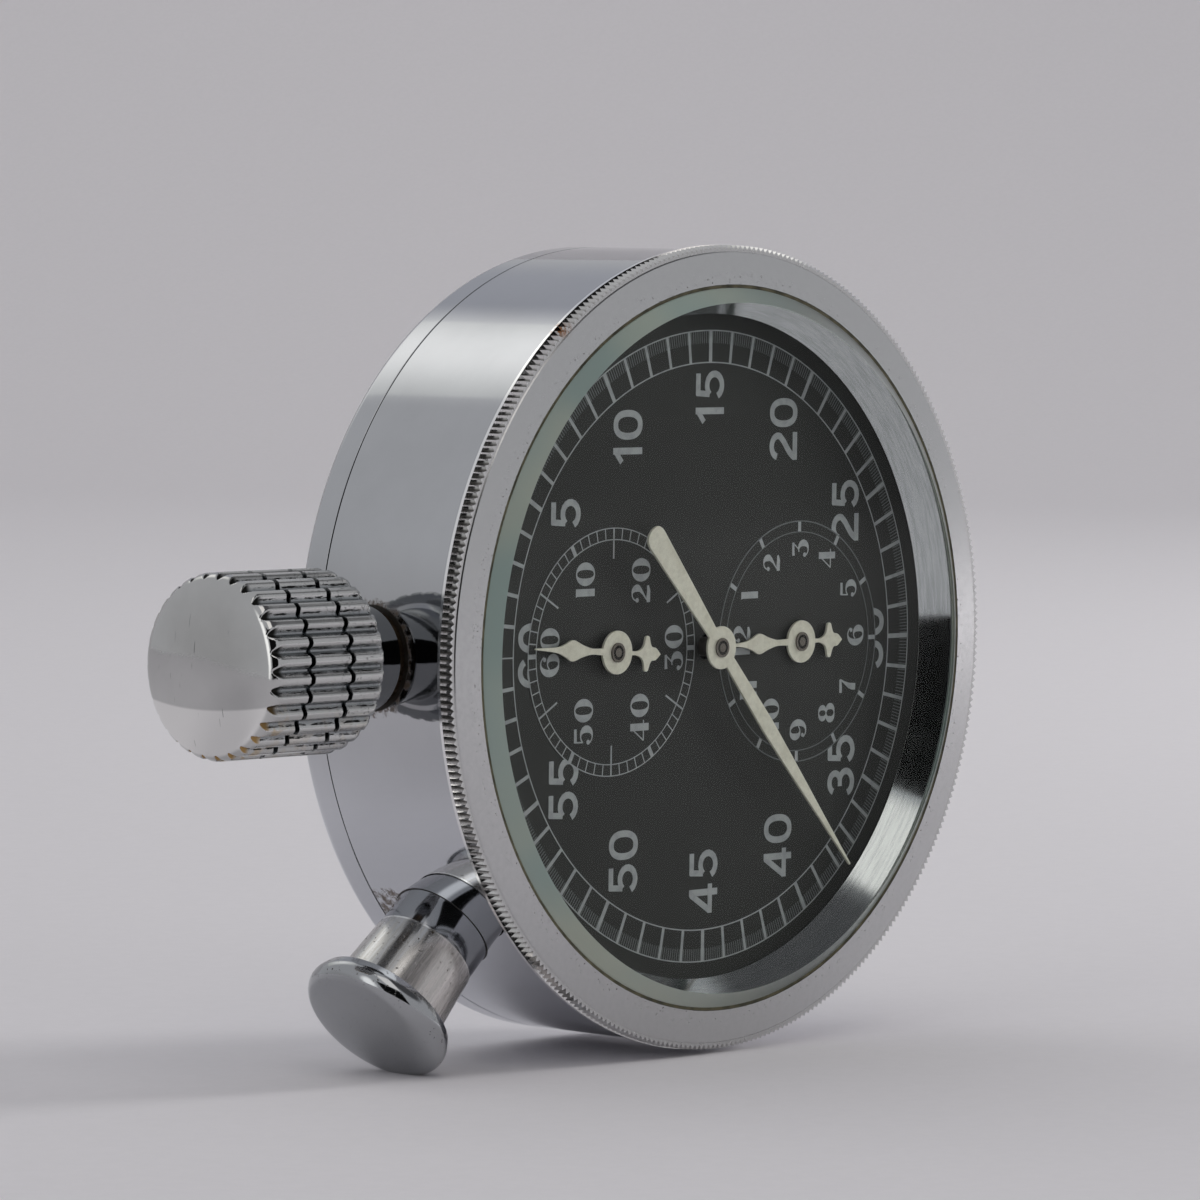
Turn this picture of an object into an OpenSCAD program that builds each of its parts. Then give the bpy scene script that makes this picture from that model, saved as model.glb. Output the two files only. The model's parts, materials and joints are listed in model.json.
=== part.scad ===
// Dashboard stopwatch in a polished drum case, with a centre seconds hand,
// a 60-minute register, a 12-hour register, a winding crown that starts and
// stops it, and a return pusher.
// The dial faces -Y and its 15-second mark points up +Z. The crown points
// to -X. Y = 0 is the flat back of the rear cover, on the case's own axis.
// Depths are measured from that back, towards the dial.

/* [Case] */
// Outside diameter of the drum
case_d = 57.3; // [54:0.1:64]
// Thickness of the drum's wall
case_wall = 1.5; // [1.2:0.1:2]
// Height of the rear cover's rim, from the back to the seam
cover_h = 2.4; // [2:0.1:3.2]
// Thickness of the rear cover's plate
cover_t = 1.1; // [0.8:0.1:1.3]
// Radius of the rounded rear edge
edge_r = 0.7; // [0.3:0.1:1]
// Gap between two fixed pieces that fit in each other
fit_gap = 0.05; // [0.03:0.01:0.08]

/* [Bezel and glass] */
// How far the bezel's coin edge stands out past the drum
bezel_proud = 0.3; // [0.1:0.05:3.8]
// Width of the rim from the drum's outside in to the glass's opening
rim_w = 2.51; // [1.7:0.01:3.6]
// Thickness of the bezel's face
face_t = 0.6; // [0.4:0.1:0.8]
// Height of the lip on the drum that the bezel snaps over
lip_h = 0.9; // [0.7:0.1:1.1]
// Number of ribs of the coin edge
ribs = 360; // [120:1:440]
// Depth of the grooves between the ribs
rib_depth = 0.32; // [0.15:0.01:0.4]
// Thickness of the glass
glass_t = 2.2; // [1.8:0.1:2.6]
// How far the glass's bevel runs in from its edge
bevel_w = 1.05; // [0.6:0.05:1.4]
// How far the glass's bevel stands above the bezel
bevel_h = 0.77; // [0.4:0.01:0.9]
// Thickness of the sealing ring round the glass
seal_t = 0.2; // [0.15:0.01:0.3]
// Height of the polished ring between dial and glass
surround_h = 1.84; // [1.75:0.01:2.4]
// Width of the polished ring's slope, from the opening in to the dial
slope_w = 2.14; // [1.7:0.01:3.1]

/* [Dial and hands] */
// Thickness of the dial
dial_t = 0.4; // [0.3:0.05:0.6]
// Distance of the two registers from the dial's centre
register_x = 10.16; // [10:0.02:10.6]
// Length of the seconds hand from the centre to its tip
seconds_len = 22.2; // [18:0.1:22.8]
// Length of the seconds hand's tail
tail_len = 11.6; // [8:0.1:12]
// Width of the seconds hand's rounded tail
tail_w = 1.9; // [1:0.1:2.4]
// Length of the two small hands from hub to tip
small_len = 8.55; // [7:0.05:8.8]
// Length of the tail of the two small hands
small_tail = 4.6; // [3.5:0.1:5]
// Diameter of a hand's hub
hub_d = 3.1; // [2.6:0.1:3.6]
// Diameter of the polished post in a hub
post_d = 1.4; // [1.2:0.1:1.8]
// Thickness of the blade of a hand
blade_t = 0.18; // [0.12:0.01:0.2]
// Where the seconds hand stands, in seconds
seconds_at = 38.05; // [0:0.05:60]
// Where the minute hand stands, in minutes
minutes_at = 0.63; // [0:0.01:60]

/* [Crown] */
// Diameter over the flutes
crown_d = 12.9; // [10:0.1:15]
// Length of the fluted part
crown_len = 10.45; // [8:0.05:12]
// Distance of the flutes' inner end from the case
crown_gap = 5.15; // [5:0.05:7]
// Number of flutes
flutes = 30; // [20:1:40]
// Radius of the groove between two flutes
flute_r = 0.38; // [0.3:0.01:0.6]
// How far the end of the crown bulges
crown_dome = 1.0; // [0.5:0.1:1.6]
// Diameter of the crown's neck
neck_d = 7.5; // [6.4:0.1:8.5]
// Travel when the crown is pressed
crown_press = 0.6; // [0.3:0.05:0.7]

/* [Pusher] */
// Angle between the pusher and the crown
pusher_angle = 42.5; // [38:0.5:50]
// Diameter of the mushroom head
head_d = 11; // [9:0.1:13]
// Diameter of the pusher's sleeve
sleeve_d = 8.3; // [7.6:0.1:9]
// Distance of the head's widest ring from the drum
head_out = 8.55; // [7.4:0.05:10.3]
// How far the head bulges past its widest ring
head_dome = 1.7; // [1:0.1:2.4]
// Length of the fixed tube that shows at rest
tube_shown = 2.4; // [2:0.1:3]
// Travel when the pusher is pressed
push_travel = 1.8; // [1:0.1:1.9]

/* [Movement] */
// Diameter of the main plate
plate_d = 49; // [48:0.1:49.6]
// Thickness of the main plate
plate_t = 1.75; // [1.5:0.05:2.2]
// Thickness of the bridges
bridge_t = 1.1; // [0.9:0.05:1.2]
// Thickness of a train wheel
wheel_t = 0.45; // [0.3:0.05:0.5]
// Gap between two wheels that turn one above the other
wheel_gap = 0.25; // [0.2:0.01:0.3]
// Thickness of the winding wheels on the back of the bridges
winding_t = 0.5; // [0.4:0.05:0.6]
// Height of the mainspring barrel
barrel_h = 2.5; // [2.2:0.1:2.7]
// Space for the motion work between main plate and dial
under_dial = 1.93; // [1.9:0.01:2.4]
// Radius of a train arbor
arbor_r = 0.45; // [0.4:0.01:0.5]
// Radius of a pivot
pivot_r = 0.25; // [0.2:0.01:0.3]
// Radial clearance of a running fit
run_gap = 0.04; // [0.02:0.01:0.08]
// Radius of a jewel bearing
jewel_r = 0.9; // [0.8:0.05:1]

/* [Going train] */
// Module of the minute wheel and the third pinion
minute_m = 0.245; // [0.24:0.001:0.25]
// Teeth of the minute wheel
minute_teeth = 75; // [72:1:78]
// Teeth of the pinions that the train drives
leaf_teeth = 10; // [10:1:12]
// Module of the third wheel and the seconds pinion
third_m = 0.233; // [0.228:0.001:0.236]
// Teeth of the third wheel
third_teeth = 80; // [76:1:80]
// Module of the seconds wheel and the escape pinion
seconds_m = 0.19; // [0.17:0.001:0.19]
// Teeth of the seconds wheel
seconds_teeth = 80; // [76:1:80]
// Teeth of the escape pinion
escape_leaves = 8; // [8:1:10]
// Module of the barrel's teeth
barrel_m = 0.24; // [0.23:0.001:0.24]
// Teeth of the barrel
barrel_teeth = 80; // [76:1:80]
// Teeth of the pinion that the barrel drives
great_leaves = 12; // [12:1:14]
// Teeth of the minute pinion under the dial
cannon_teeth = 12; // [12:1:14]
// Teeth of the motion wheel round the centre pipe
motion_teeth = 36; // [32:1:36]
// Teeth of the motion pinion round the centre pipe
motion_leaves = 10; // [10:1:11]
// Teeth of the hour wheel
hour_teeth = 40; // [38:1:42]
// Teeth of the escape wheel
escape_teeth = 15; // [15:1:15]
// Radius of the escape wheel
escape_r = 3.6; // [3.2:0.1:3.7]
// Radius of the balance wheel
balance_r = 6.3; // [5.4:0.1:6.4]

/* [Winding] */
// Teeth of the ratchet wheel on the barrel arbor
ratchet_teeth = 40; // [36:1:40]
// Teeth of the transmission wheel
transfer_teeth = 20; // [18:1:20]
// Teeth of the crown wheel under the bridge
crown_wheel_teeth = 24; // [20:1:24]
// Module of the crown wheel
crown_wheel_m = 0.27; // [0.25:0.01:0.28]
// Teeth of the winding pinion
winding_teeth = 12; // [10:1:12]

/* [Hidden] */
$fn = 96;

// Form of the gear teeth, in modules, and their play in millimetres
pressure = 25;
addendum = 0.75;
dedendum = 1.0;
tooth_slack = 0.05;

// Colours
chrome = "gainsboro";
brass = "goldenrod";
steel = "lightsteelblue";
gilt = "burlywood";
ivory = "beige";

// Radii of the case, from the outside in
case_r = case_d / 2;
inner_r = case_r - case_wall;
ring_r = inner_r - fit_gap;
plate_r = plate_d / 2;
bezel_r = case_r + bezel_proud;
opening_r = case_r - rim_w;
view_r = opening_r - slope_w;
head_at = case_r + head_out;
glass_r = opening_r - seal_t - fit_gap;
bezel_seat_r = inner_r + 0.45;
dial_r = ring_r - 0.2;

// Depths, from the back towards the dial
ratchet_back = cover_t + 0.3;
bridge_back = ratchet_back + winding_t + 0.2;
bridge_front = bridge_back + bridge_t;
barrel_back = bridge_front + 0.2;
barrel_front = barrel_back + barrel_h;
seconds_back = barrel_front + wheel_gap;
third_back = seconds_back + wheel_t + wheel_gap;
minute_back = third_back + wheel_t + wheel_gap;
plate_back = minute_back + wheel_t + wheel_gap;
plate_front = plate_back + plate_t;
motion_back = plate_front + 0.2;
hour_back = motion_back + wheel_t + 0.15;
heart_back = hour_back + wheel_t + 0.15;
heart_t = 0.35;
dial_back = plate_front + under_dial;
dial_front = dial_back + dial_t;
glass_back = dial_front + surround_h;
glass_front = glass_back + glass_t;
opening_at = glass_front - bevel_h;
bezel_under = opening_at - face_t;
shoulder_at = bezel_under - lip_h;
knob_at = plate_back - 0.9;
ring_back = cover_h + 1.2;

// The three arbors that carry hands, and the rest of the train, as [x, z]
centre = [0, 0];
minute_at = [-register_x, 0];
hour_at = [register_x, 0];
minute_to_third = minute_m * (minute_teeth + leaf_teeth) / 2;
third_to_centre = third_m * (third_teeth + leaf_teeth) / 2;
third_x = (pow(minute_to_third, 2) - pow(third_to_centre, 2)
    - pow(register_x, 2)) / (2 * register_x);
third_at = [third_x, sqrt(pow(third_to_centre, 2) - pow(third_x, 2))];
escape_angle = -52;
escape_at = seconds_m * (seconds_teeth + escape_leaves) / 2 * dir(escape_angle);
lever_angle = 20;
pallet_at = escape_at + escape_r / cos(30) * dir(lever_angle);
balance_at = pallet_at + 6.2 * dir(lever_angle);
barrel_angle = -80;
barrel_at = minute_at
    + barrel_m * (barrel_teeth + great_leaves) / 2 * dir(barrel_angle);
crown_wheel_at = [-17.2, 0];
winding_gap = norm(barrel_at - crown_wheel_at);
ratchet_m = 2 * winding_gap / (ratchet_teeth + transfer_teeth);
motion_m = 2 * register_x / (cannon_teeth + motion_teeth);
hour_m = 2 * register_x / (motion_leaves + hour_teeth);

// Where the bridges stand on the main plate, clear of the wheels' teeth
foot_r = 1.3;
foot_gap = 0.25;
train_feet = [
    minute_at + (tip_r(minute_teeth, minute_m) + foot_r + foot_gap) * dir(150),
    third_at + (tip_r(third_teeth, third_m) + foot_r + 3.1) * dir(10),
    escape_at + (escape_r + foot_r + 3.1) * dir(261.5)];
barrel_feet = [for (a = [173.5, -70.6])
    barrel_at + (tip_r(barrel_teeth, barrel_m) + foot_r + foot_gap) * dir(a)];
cock_angle = 58;
balance_foot = balance_at + (balance_r + 5.1) * dir(cock_angle);
balance_foot_r = 2.2;
pallet_cock_len = 9.2;
pallet_foot = pallet_at + pallet_cock_len * dir(-87);
clamp_angles = [115, 295];
clamp_t = 0.45;
clamp_post_r = 1.2;
clamp_post_at = plate_r - 1.6;
clamp_screw_at = ring_r - 1.9;
all_feet = concat(train_feet, barrel_feet, [balance_foot, pallet_foot]);
click_pivot = barrel_at + (tip_r(ratchet_teeth, ratchet_m) + 1.15) * dir(-47);
dial_foot_r = 0.5;
dial_feet = [for (a = [75, -75]) (plate_r - 4.5) * dir(a)];
screw_r = 0.6;
screw_head_r = 0.8;
screw_head_t = 0.3;

// Bearings and holes that two pieces share
pipe_r = 1.0;
stem_r = 0.8;
stem_square = 1.12;
push_stem_r = 0.85;
crown_hole_r = 2.6;
pusher_hole_r = 2.6;
tube_r = 3.7;
tube_wall = 0.7;
spring_seat = case_r + 1;
barrel_hub_r = 1.3;
barrel_pivot_r = 0.8;
crown_wheel_hub_r = 0.7;
lever_post_r = 0.56;

// Directions of the crown and the pusher, seen from the front
crown_dir = 180;
pusher_dir = crown_dir + pusher_angle;
foot_rest = 0.02;

function dir(a) = [cos(a), sin(a)];
function angle_to(a, b) = atan2(b[1] - a[1], b[0] - a[0]);
function dial_angle(parts) = 180 - 6 * parts;
function tip_r(teeth, m) = m * (teeth / 2 + addendum);
function reverse(list) = [for (i = [len(list) - 1:-1:0]) list[i]];

// Involute gears: the teeth are cut a little thin, so that a pair turns
// freely, and short, so that few-leaved pinions don't bind
function involute(r, base) =
    r <= base ? 0 : tan(acos(base / r)) * 180 / PI - acos(base / r);
function tooth_half(teeth, m, r) = let (
        pitch = m * teeth / 2,
        base = pitch * cos(pressure)
    ) 90 / teeth - tooth_slack / 2 / pitch * 180 / PI
        + involute(pitch, base) - involute(max(r, base), base);
function gear_outline(teeth, m, phase) = let (
        pitch = m * teeth / 2,
        root = pitch - dedendum * m,
        tip = pitch + addendum * m,
        radii = [root, pitch - 0.35 * m, pitch + 0.2 * m, tip]
    ) [for (i = [0:teeth - 1], side = [-1, 1], k = [0:3])
        let (
            r = side < 0 ? radii[k] : radii[3 - k],
            a = phase + i * 360 / teeth + side * tooth_half(teeth, m, r)
        ) r * dir(a)];

// A flat piece in the dial's plane: x to the right and y up as seen from
// the front, from depth back towards the dial
module plate(back, thick) {
    translate([0, -back, 0]) rotate([90, 0, 0]) linear_extrude(thick) children();
}

// A round post at a place on the plate
module post(at, back, long, r) {
    translate([at[0], -back, at[1]]) rotate([90, 0, 0]) cylinder(h = long, r = r);
}

// A turned piece round the case's axis, from points of [radius, depth]
module turned(points, sides = 180) {
    rotate([90, 0, 0]) rotate_extrude($fn = sides) polygon(points);
}

// Places a piece that is drawn along +Z so that it points out of the case
module outward(angle) {
    translate([0, -knob_at, 0]) rotate([0, 90 - angle, 0]) children();
}

// A straight bar with round ends between two places
module bar(a, b, width) {
    translate(a) circle(d = width);
    translate(b) circle(d = width);
    translate(a) rotate(angle_to(a, b)) translate([0, -width / 2])
        square([norm(b - a), width]);
}

// A wheel with a rim, spokes and a hub, cut from its gear outline
module spoked(outline, rim, hub, bore, spokes, width) {
    difference() {
        polygon(outline);
        difference() {
            circle(r = rim);
            circle(r = hub);
            for (i = [0:spokes - 1])
                rotate(i * 360 / spokes) translate([0, -width / 2])
                    square([rim + 1, width]);
        }
        circle(r = bore);
    }
}

// Case

module case_band() {
    color(chrome) difference() {
        turned([[inner_r, cover_h], [case_r, cover_h], [case_r, shoulder_at],
            [bezel_seat_r, shoulder_at], [bezel_seat_r, bezel_under - fit_gap],
            [inner_r, bezel_under - fit_gap]]);
        outward(crown_dir) cylinder(h = case_r + 5, r = crown_hole_r);
        outward(pusher_dir) cylinder(h = case_r + 5, r = pusher_hole_r);
    }
}
// The rear cover snaps into the drum, and has a nick for a case knife
module rear_cover() {
    nick_w = 5;
    color(chrome) difference() {
        turned(concat(
            [[0, 0]],
            [for (a = [0:15:90]) [case_r - edge_r + edge_r * sin(a),
                edge_r - edge_r * cos(a)]],
            [[case_r, cover_h - 0.02], [ring_r, cover_h - 0.02],
             [ring_r, ring_back - fit_gap], [ring_r - 1, ring_back - fit_gap],
             [ring_r - 1, cover_t], [0, cover_t]]));
        translate([case_r - 0.5, -cover_h, -nick_w / 2]) cube([2, 0.5, nick_w]);
    }
}

// Bezel: a plain rear rim, the coin edge, and a flat sloping face
module bezel() {
    rim_t = 0.24;
    knurl_back = shoulder_at + fit_gap + rim_t;
    knurl_front = opening_at - 0.42;
    core_r = bezel_r - rib_depth - 0.06;
    color(chrome) union() {
        turned([[opening_r, glass_back + fit_gap], [inner_r - fit_gap, glass_back + fit_gap],
            [inner_r - fit_gap, bezel_under], [bezel_seat_r + fit_gap, bezel_under],
            [bezel_seat_r + fit_gap, shoulder_at + fit_gap],
            [bezel_r + 0.05, shoulder_at + fit_gap], [bezel_r + 0.05, knurl_back],
            [core_r - 0.2, knurl_back], [core_r - 0.2, knurl_front],
            [core_r, knurl_front], [core_r - 0.15, opening_at - 0.28],
            [opening_r, opening_at]]);
        plate(knurl_back - 0.08, knurl_front - knurl_back + 0.14) difference() {
            polygon([for (i = [0:2 * ribs - 1])
                (bezel_r - (i % 2) * rib_depth) * dir(i * 180 / ribs)]);
            circle(r = core_r - 0.6, $fn = 180);
        }
    }
}

module crystal() {
    color("azure", 0.3) turned([[0, glass_back], [glass_r, glass_back],
        [glass_r, opening_at], [glass_r - bevel_w, glass_front], [0, glass_front]]);
}

module crystal_seal() {
    color("darkolivegreen") turned([[glass_r + 0.01, glass_back + fit_gap],
        [opening_r - 0.02, glass_back + fit_gap], [opening_r - 0.02, opening_at - 0.03],
        [glass_r + 0.01, opening_at - 0.03]]);
}

module dial_surround() {
    color(chrome) turned([[view_r, dial_front], [ring_r, dial_front],
        [ring_r, glass_back - 0.01], [opening_r - 0.45, glass_back - 0.01],
        [view_r, dial_front + 0.12]]);
}

// Dial, with two feet that sit in the main plate
module dial() {
    color("dimgray") difference() {
        union() {
            plate(dial_back, dial_t) circle(r = dial_r, $fn = 180);
            for (p = dial_feet) post(p, plate_front - 0.6, under_dial + 0.7, dial_foot_r);
        }
        for (p = [centre, minute_at, hour_at])
            post(p, dial_back - 1, dial_t + 2, post_d / 2 + 0.25);
    }
}

// Movement, fixed pieces

module movement_ring() {
    color("silver") difference() {
        turned([[plate_r + fit_gap, ring_back], [ring_r, ring_back],
            [ring_r, dial_back], [plate_r + fit_gap, dial_back]]);
        outward(crown_dir) cylinder(h = case_r, r = crown_hole_r);
        outward(pusher_dir) cylinder(h = case_r, r = pusher_hole_r);
        for (a = clamp_angles) post(clamp_screw_at * dir(a), ring_back - 1, 2.6, screw_r);
    }
}

module main_plate() {
    rim_w = 1.1;
    color(gilt) difference() {
        union() {
            plate(plate_back, plate_t) circle(r = plate_r, $fn = 180);
            plate(plate_back, plate_t + under_dial) difference() {
                circle(r = plate_r, $fn = 180);
                circle(r = plate_r - rim_w, $fn = 180);
            }
            for (a = clamp_angles)
                post(clamp_post_at * dir(a), ring_back, plate_back - ring_back, clamp_post_r);
        }
        post(centre, plate_back - 1, plate_t + 2, pipe_r);
        for (p = [minute_at, hour_at])
            post(p, plate_back - 1, plate_t + 2, post_d / 2 + run_gap);
        for (p = [third_at, escape_at, pallet_at, balance_at])
            post(p, plate_back - 1, plate_t + 2, jewel_r);
        for (p = dial_feet) post(p, plate_front - 0.8, 2, dial_foot_r + fit_gap);
        // Slot for the winding pinion and the collar of the stem
        plate(plate_back - 1, 2.4) translate([-plate_r - 1, -2.3])
            square([plate_r + 1 - stem_end, 4.6]);
        outward(pusher_dir) translate([0, 0, collar_at - push_travel - 0.3])
            cylinder(h = 5, r = collar_r + 0.2);
        // Slot for the post of the reset lever
        plate(plate_back - 1, plate_t + 2) bar(reset_post, reset_post
            + (push_travel + 0.5) * dir(pusher_dir + 180), 1.8);
        for (p = all_feet) post(p, plate_back - 1, plate_t + 1 - 0.4, screw_r);
        post(reset_pivot, plate_front - 0.9, 2, reset_pivot_r + run_gap);
        for (p = [start_pivot, brake_pivot])
            post(p, plate_back - 1, 1.9, lever_post_r + run_gap);
        post(barrel_at, plate_back - 1, 2, barrel_pivot_r + run_gap);
    }
}

module bridge_holes(places, feet) {
    for (p = places) post(p, bridge_back - 1, bridge_t + 2, jewel_r);
    for (p = feet) post(p, bridge_back - 1, plate_back - bridge_back + 2, screw_r);
}

module train_bridge() {
    color(gilt) difference() {
        union() {
            plate(bridge_back, bridge_t) {
                bar(train_feet[0], minute_at, 3);
                bar(minute_at, third_at, 3.6);
                bar(third_at, train_feet[1], 4);
                bar(third_at, centre, 3.6);
                bar(centre, escape_at, 3.6);
                bar(escape_at, train_feet[2], 3.4);
                for (p = train_feet) translate(p) circle(r = foot_r);
                translate(minute_at) circle(r = 2.1);
            }
            for (p = train_feet)
                post(p, bridge_back, plate_back - bridge_back, foot_r);
        }
        bridge_holes([centre, minute_at, third_at, escape_at], train_feet);
    }
}

module barrel_bridge() {
    color(gilt) difference() {
        union() {
            plate(bridge_back, bridge_t) {
                translate(barrel_at) circle(r = 6);
                bar(barrel_at, barrel_feet[0], 4.4);
                bar(barrel_at, barrel_feet[1], 4.4);
                bar(barrel_at, crown_wheel_at, 3.8);
            }
            for (p = barrel_feet)
                post(p, bridge_back, plate_back - bridge_back, foot_r);
            plate(bridge_back + 0.1, bridge_t - 0.2) bar(barrel_feet[1], click_pivot, 2.6);
        }
        post(barrel_at, bridge_back - 1, bridge_t + 2, barrel_hub_r + run_gap);
        post(crown_wheel_at, bridge_back - 1, bridge_t + 2, crown_wheel_hub_r + run_gap);
        post(click_pivot, bridge_back - 1, bridge_t + 2, 0.38 + run_gap);
        bridge_holes([], barrel_feet);
    }
}

module balance_cock() {
    color(gilt) difference() {
        union() {
            plate(bridge_back, bridge_t) bar(balance_at, balance_foot, 4);
            post(balance_foot, bridge_back, plate_back - bridge_back, balance_foot_r);
        }
        bridge_holes([balance_at], [balance_foot]);
    }
}

cock_back = bridge_front + 1.3;
cock_t = 0.55;
module pallet_cock() {
    color(gilt) difference() {
        union() {
            plate(cock_back, cock_t) bar(pallet_at, pallet_foot, 2.4);
            post(pallet_foot, cock_back, plate_back - cock_back, 1.2);
        }
        post(pallet_at, cock_back - 1, 3, jewel_r - 0.2);
        post(pallet_foot, cock_back - 1, 6, screw_r);
    }
}

// Fixed pipe that the motion wheel turns on, round the seconds arbor
module centre_pipe() {
    color(brass) difference() {
        post(centre, plate_back + 0.1, heart_back - plate_back - 0.2, pipe_r);
        post(centre, 0, dial_front, arbor_r + run_gap);
    }
}

// Jewel bearings of the train, front and rear
module jewels() {
    color("crimson") difference() {
        union() {
            for (p = [third_at, escape_at, pallet_at, balance_at])
                post(p, plate_back + 0.1, 0.8, jewel_r);
            for (p = [centre, minute_at, third_at, escape_at, balance_at])
                post(p, bridge_front - 0.8, 0.7, jewel_r);
            post(pallet_at, cock_back + 0.05, cock_t - 0.1, jewel_r - 0.2);
        }
        for (p = [centre, minute_at, third_at, escape_at, pallet_at, balance_at])
            post(p, 0, dial_front, pivot_r + run_gap);
    }
}

// Cheese-head screws that hold the bridges, with a slot
module slotted_screw(at, back, long) {
    difference() {
        union() {
            post(at, back - screw_head_t, screw_head_t, screw_head_r);
            post(at, back, long, screw_r - 0.02);
        }
        translate([at[0] - 1, -back + 0.15, at[1] - 0.1]) cube([2, 1, 0.2]);
    }
}

module bridge_screws() {
    color(steel) {
        for (p = concat(train_feet, barrel_feet, [balance_foot]))
            slotted_screw(p, bridge_back, plate_back - bridge_back + 1);
        slotted_screw(pallet_foot, cock_back, plate_back - cock_back + 1);
    }
}

// Two clamps that hold the movement ring in the drum
module movement_clamps() {
    inner = clamp_post_at - clamp_post_r;
    outer = ring_r - 1.2;
    color(steel) for (a = clamp_angles) difference() {
        plate(ring_back - clamp_t, clamp_t) rotate(a) translate([inner, -1.5])
            square([outer - inner, 3]);
        post(clamp_screw_at * dir(a), 0, ring_back + 1, screw_r);
    }
}

module clamp_screws() {
    color(steel) for (a = clamp_angles)
        slotted_screw(clamp_screw_at * dir(a), ring_back - clamp_t, clamp_t + 1.5);
}

// A tube's collar seated on the round drum
module seated_collar(at, r) {
    difference() {
        translate([0, 0, case_r - 1]) cylinder(h = at - case_r + 1, r = r);
        rotate([90, 0, 0]) cylinder(h = 60, r = case_r + 0.01, center = true, $fn = 180);
    }
}

module crown_tube() {
    color("gray") outward(crown_dir) difference() {
        union() {
            translate([0, 0, ring_r - 1.5]) cylinder(h = case_r - ring_r + 1.8,
                r = crown_hole_r - 0.01);
            seated_collar(case_r + 1.75, crown_tube_r);
        }
        cylinder(h = 60, r = stem_r + run_gap);
    }
}
crown_tube_r = neck_d / 2 - 0.4;

module pusher_tube() {
    color("silver") outward(pusher_dir) difference() {
        union() {
            translate([0, 0, ring_r - 1.5]) cylinder(h = case_r - ring_r + 1.8,
                r = pusher_hole_r - 0.01);
            seated_collar(case_r + tube_shown + push_travel + 0.3, tube_r);
        }
        cylinder(h = 60, r = push_stem_r + run_gap);
        translate([0, 0, spring_seat]) cylinder(h = 20, r = tube_r - tube_wall);
    }
}

// Hands. Each blade is drawn pointing along +x and then turned. Half widths
// of the seconds hand at its root, its widest place, its tip and its tail
root_w = 0.5;
belly_w = 0.62;
tip_w = 0.08;
tail_root_w = 0.45;

module seconds_blade() {
    polygon([[0, -root_w], [seconds_len * 0.35, -belly_w], [seconds_len, -tip_w],
        [seconds_len, tip_w], [seconds_len * 0.35, belly_w], [0, root_w]]);
    polygon([[0, -tail_root_w], [-tail_len + tail_w / 2, -tail_w / 2],
        [-tail_len + tail_w / 2, tail_w / 2], [0, tail_root_w]]);
    translate([-tail_len + tail_w / 2, 0]) circle(d = tail_w, $fn = 24);
    circle(d = hub_d);
}

// A small hand: a slim shaft, a lozenge, a fine tip and a cross-shaped tail
module small_blade() {
    polygon([[1, -0.23], [2.9, -0.23], [4.7, -0.75], [6.4, -0.18], [small_len, -0.05],
        [small_len, 0.05], [6.4, 0.18], [4.7, 0.75], [2.9, 0.23], [1, 0.23]]);
    polygon([[-1, -0.15], [-2.3, -0.15], [-2.75, -0.5], [-2.9, -1.28], [-3.3, -1.28],
        [-3.6, -0.55], [-4.1, -0.45], [-small_tail, 0], [-4.1, 0.45], [-3.6, 0.55],
        [-3.3, 1.28], [-2.9, 1.28], [-2.75, 0.5], [-2.3, 0.15], [-1, 0.15]]);
    circle(d = hub_d);
}

module hand_at(at, back, thick, parts) {
    color(ivory) plate(back, thick) translate(at) rotate(dial_angle(parts))
        difference() {
            children();
            circle(r = post_d / 2);
        }
}
hour_hand_back = dial_front + 0.2;
minute_hand_back = dial_front + 0.35;
seconds_hand_back = dial_front + 1.3;

module seconds_hand() { hand_at(centre, seconds_hand_back, blade_t, seconds_at) seconds_blade(); }
module minute_hand() { hand_at(minute_at, minute_hand_back, blade_t, minutes_at) small_blade(); }
module hour_hand() { hand_at(hour_at, hour_hand_back, blade_t, 0) small_blade(); }

// An arbor with pivots: from the rear bearing to the hand
module hand_arbor(at, back, front, hand_back) {
    post(at, back, front - back, arbor_r);
    post(at, bridge_front - 0.8, 1, pivot_r);
    post(at, hand_back - 0.6, blade_t + 0.7, post_d / 2);
}

module seconds_arbor() {
    color(steel) union() {
        hand_arbor(centre, bridge_front + 0.1, dial_front, seconds_hand_back);
        post(centre, dial_back + 0.1, seconds_hand_back - dial_back, post_d / 2);
    }
}

module pinion(at, teeth, m, phase, back, thick, bore) {
    plate(back, thick) translate(at) difference() {
        polygon(gear_outline(teeth, m, phase));
        circle(r = bore);
    }
}

module seconds_pinion() {
    color(steel) pinion(centre, leaf_teeth, third_m,
        angle_to(centre, third_at) + 180 / leaf_teeth, third_back - 0.1, wheel_t + 0.3,
        arbor_r);
}

module seconds_wheel() {
    color(brass) plate(seconds_back, wheel_t) spoked(gear_outline(seconds_teeth,
        seconds_m, escape_angle), 6.4, 1.8, arbor_r, 5, 0.7);
}

// Heart cam of a flyback: its notch comes to the front when it is pressed
module heart(size) {
    polygon([for (a = [-180:12:180]) size * (0.42 + 0.58 * abs(a) / 180) * dir(a)]);
}
heart_size = 2.4;
module heart_at(at, turn) {
    color(steel) plate(heart_back, heart_t) translate(at) rotate(turn) difference() {
        heart(heart_size);
        circle(r = arbor_r);
    }
}
module seconds_heart() { heart_at(centre, dial_angle(seconds_at)); }
module minute_heart() { heart_at(minute_at, dial_angle(minutes_at)); }
module hour_heart() { heart_at(hour_at, 90); }

module minute_arbor() {
    color(steel) union() {
        hand_arbor(minute_at, bridge_front + 0.1, dial_front, minute_hand_back);
        post(minute_at, plate_back, plate_t, post_d / 2);
    }
}

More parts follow.
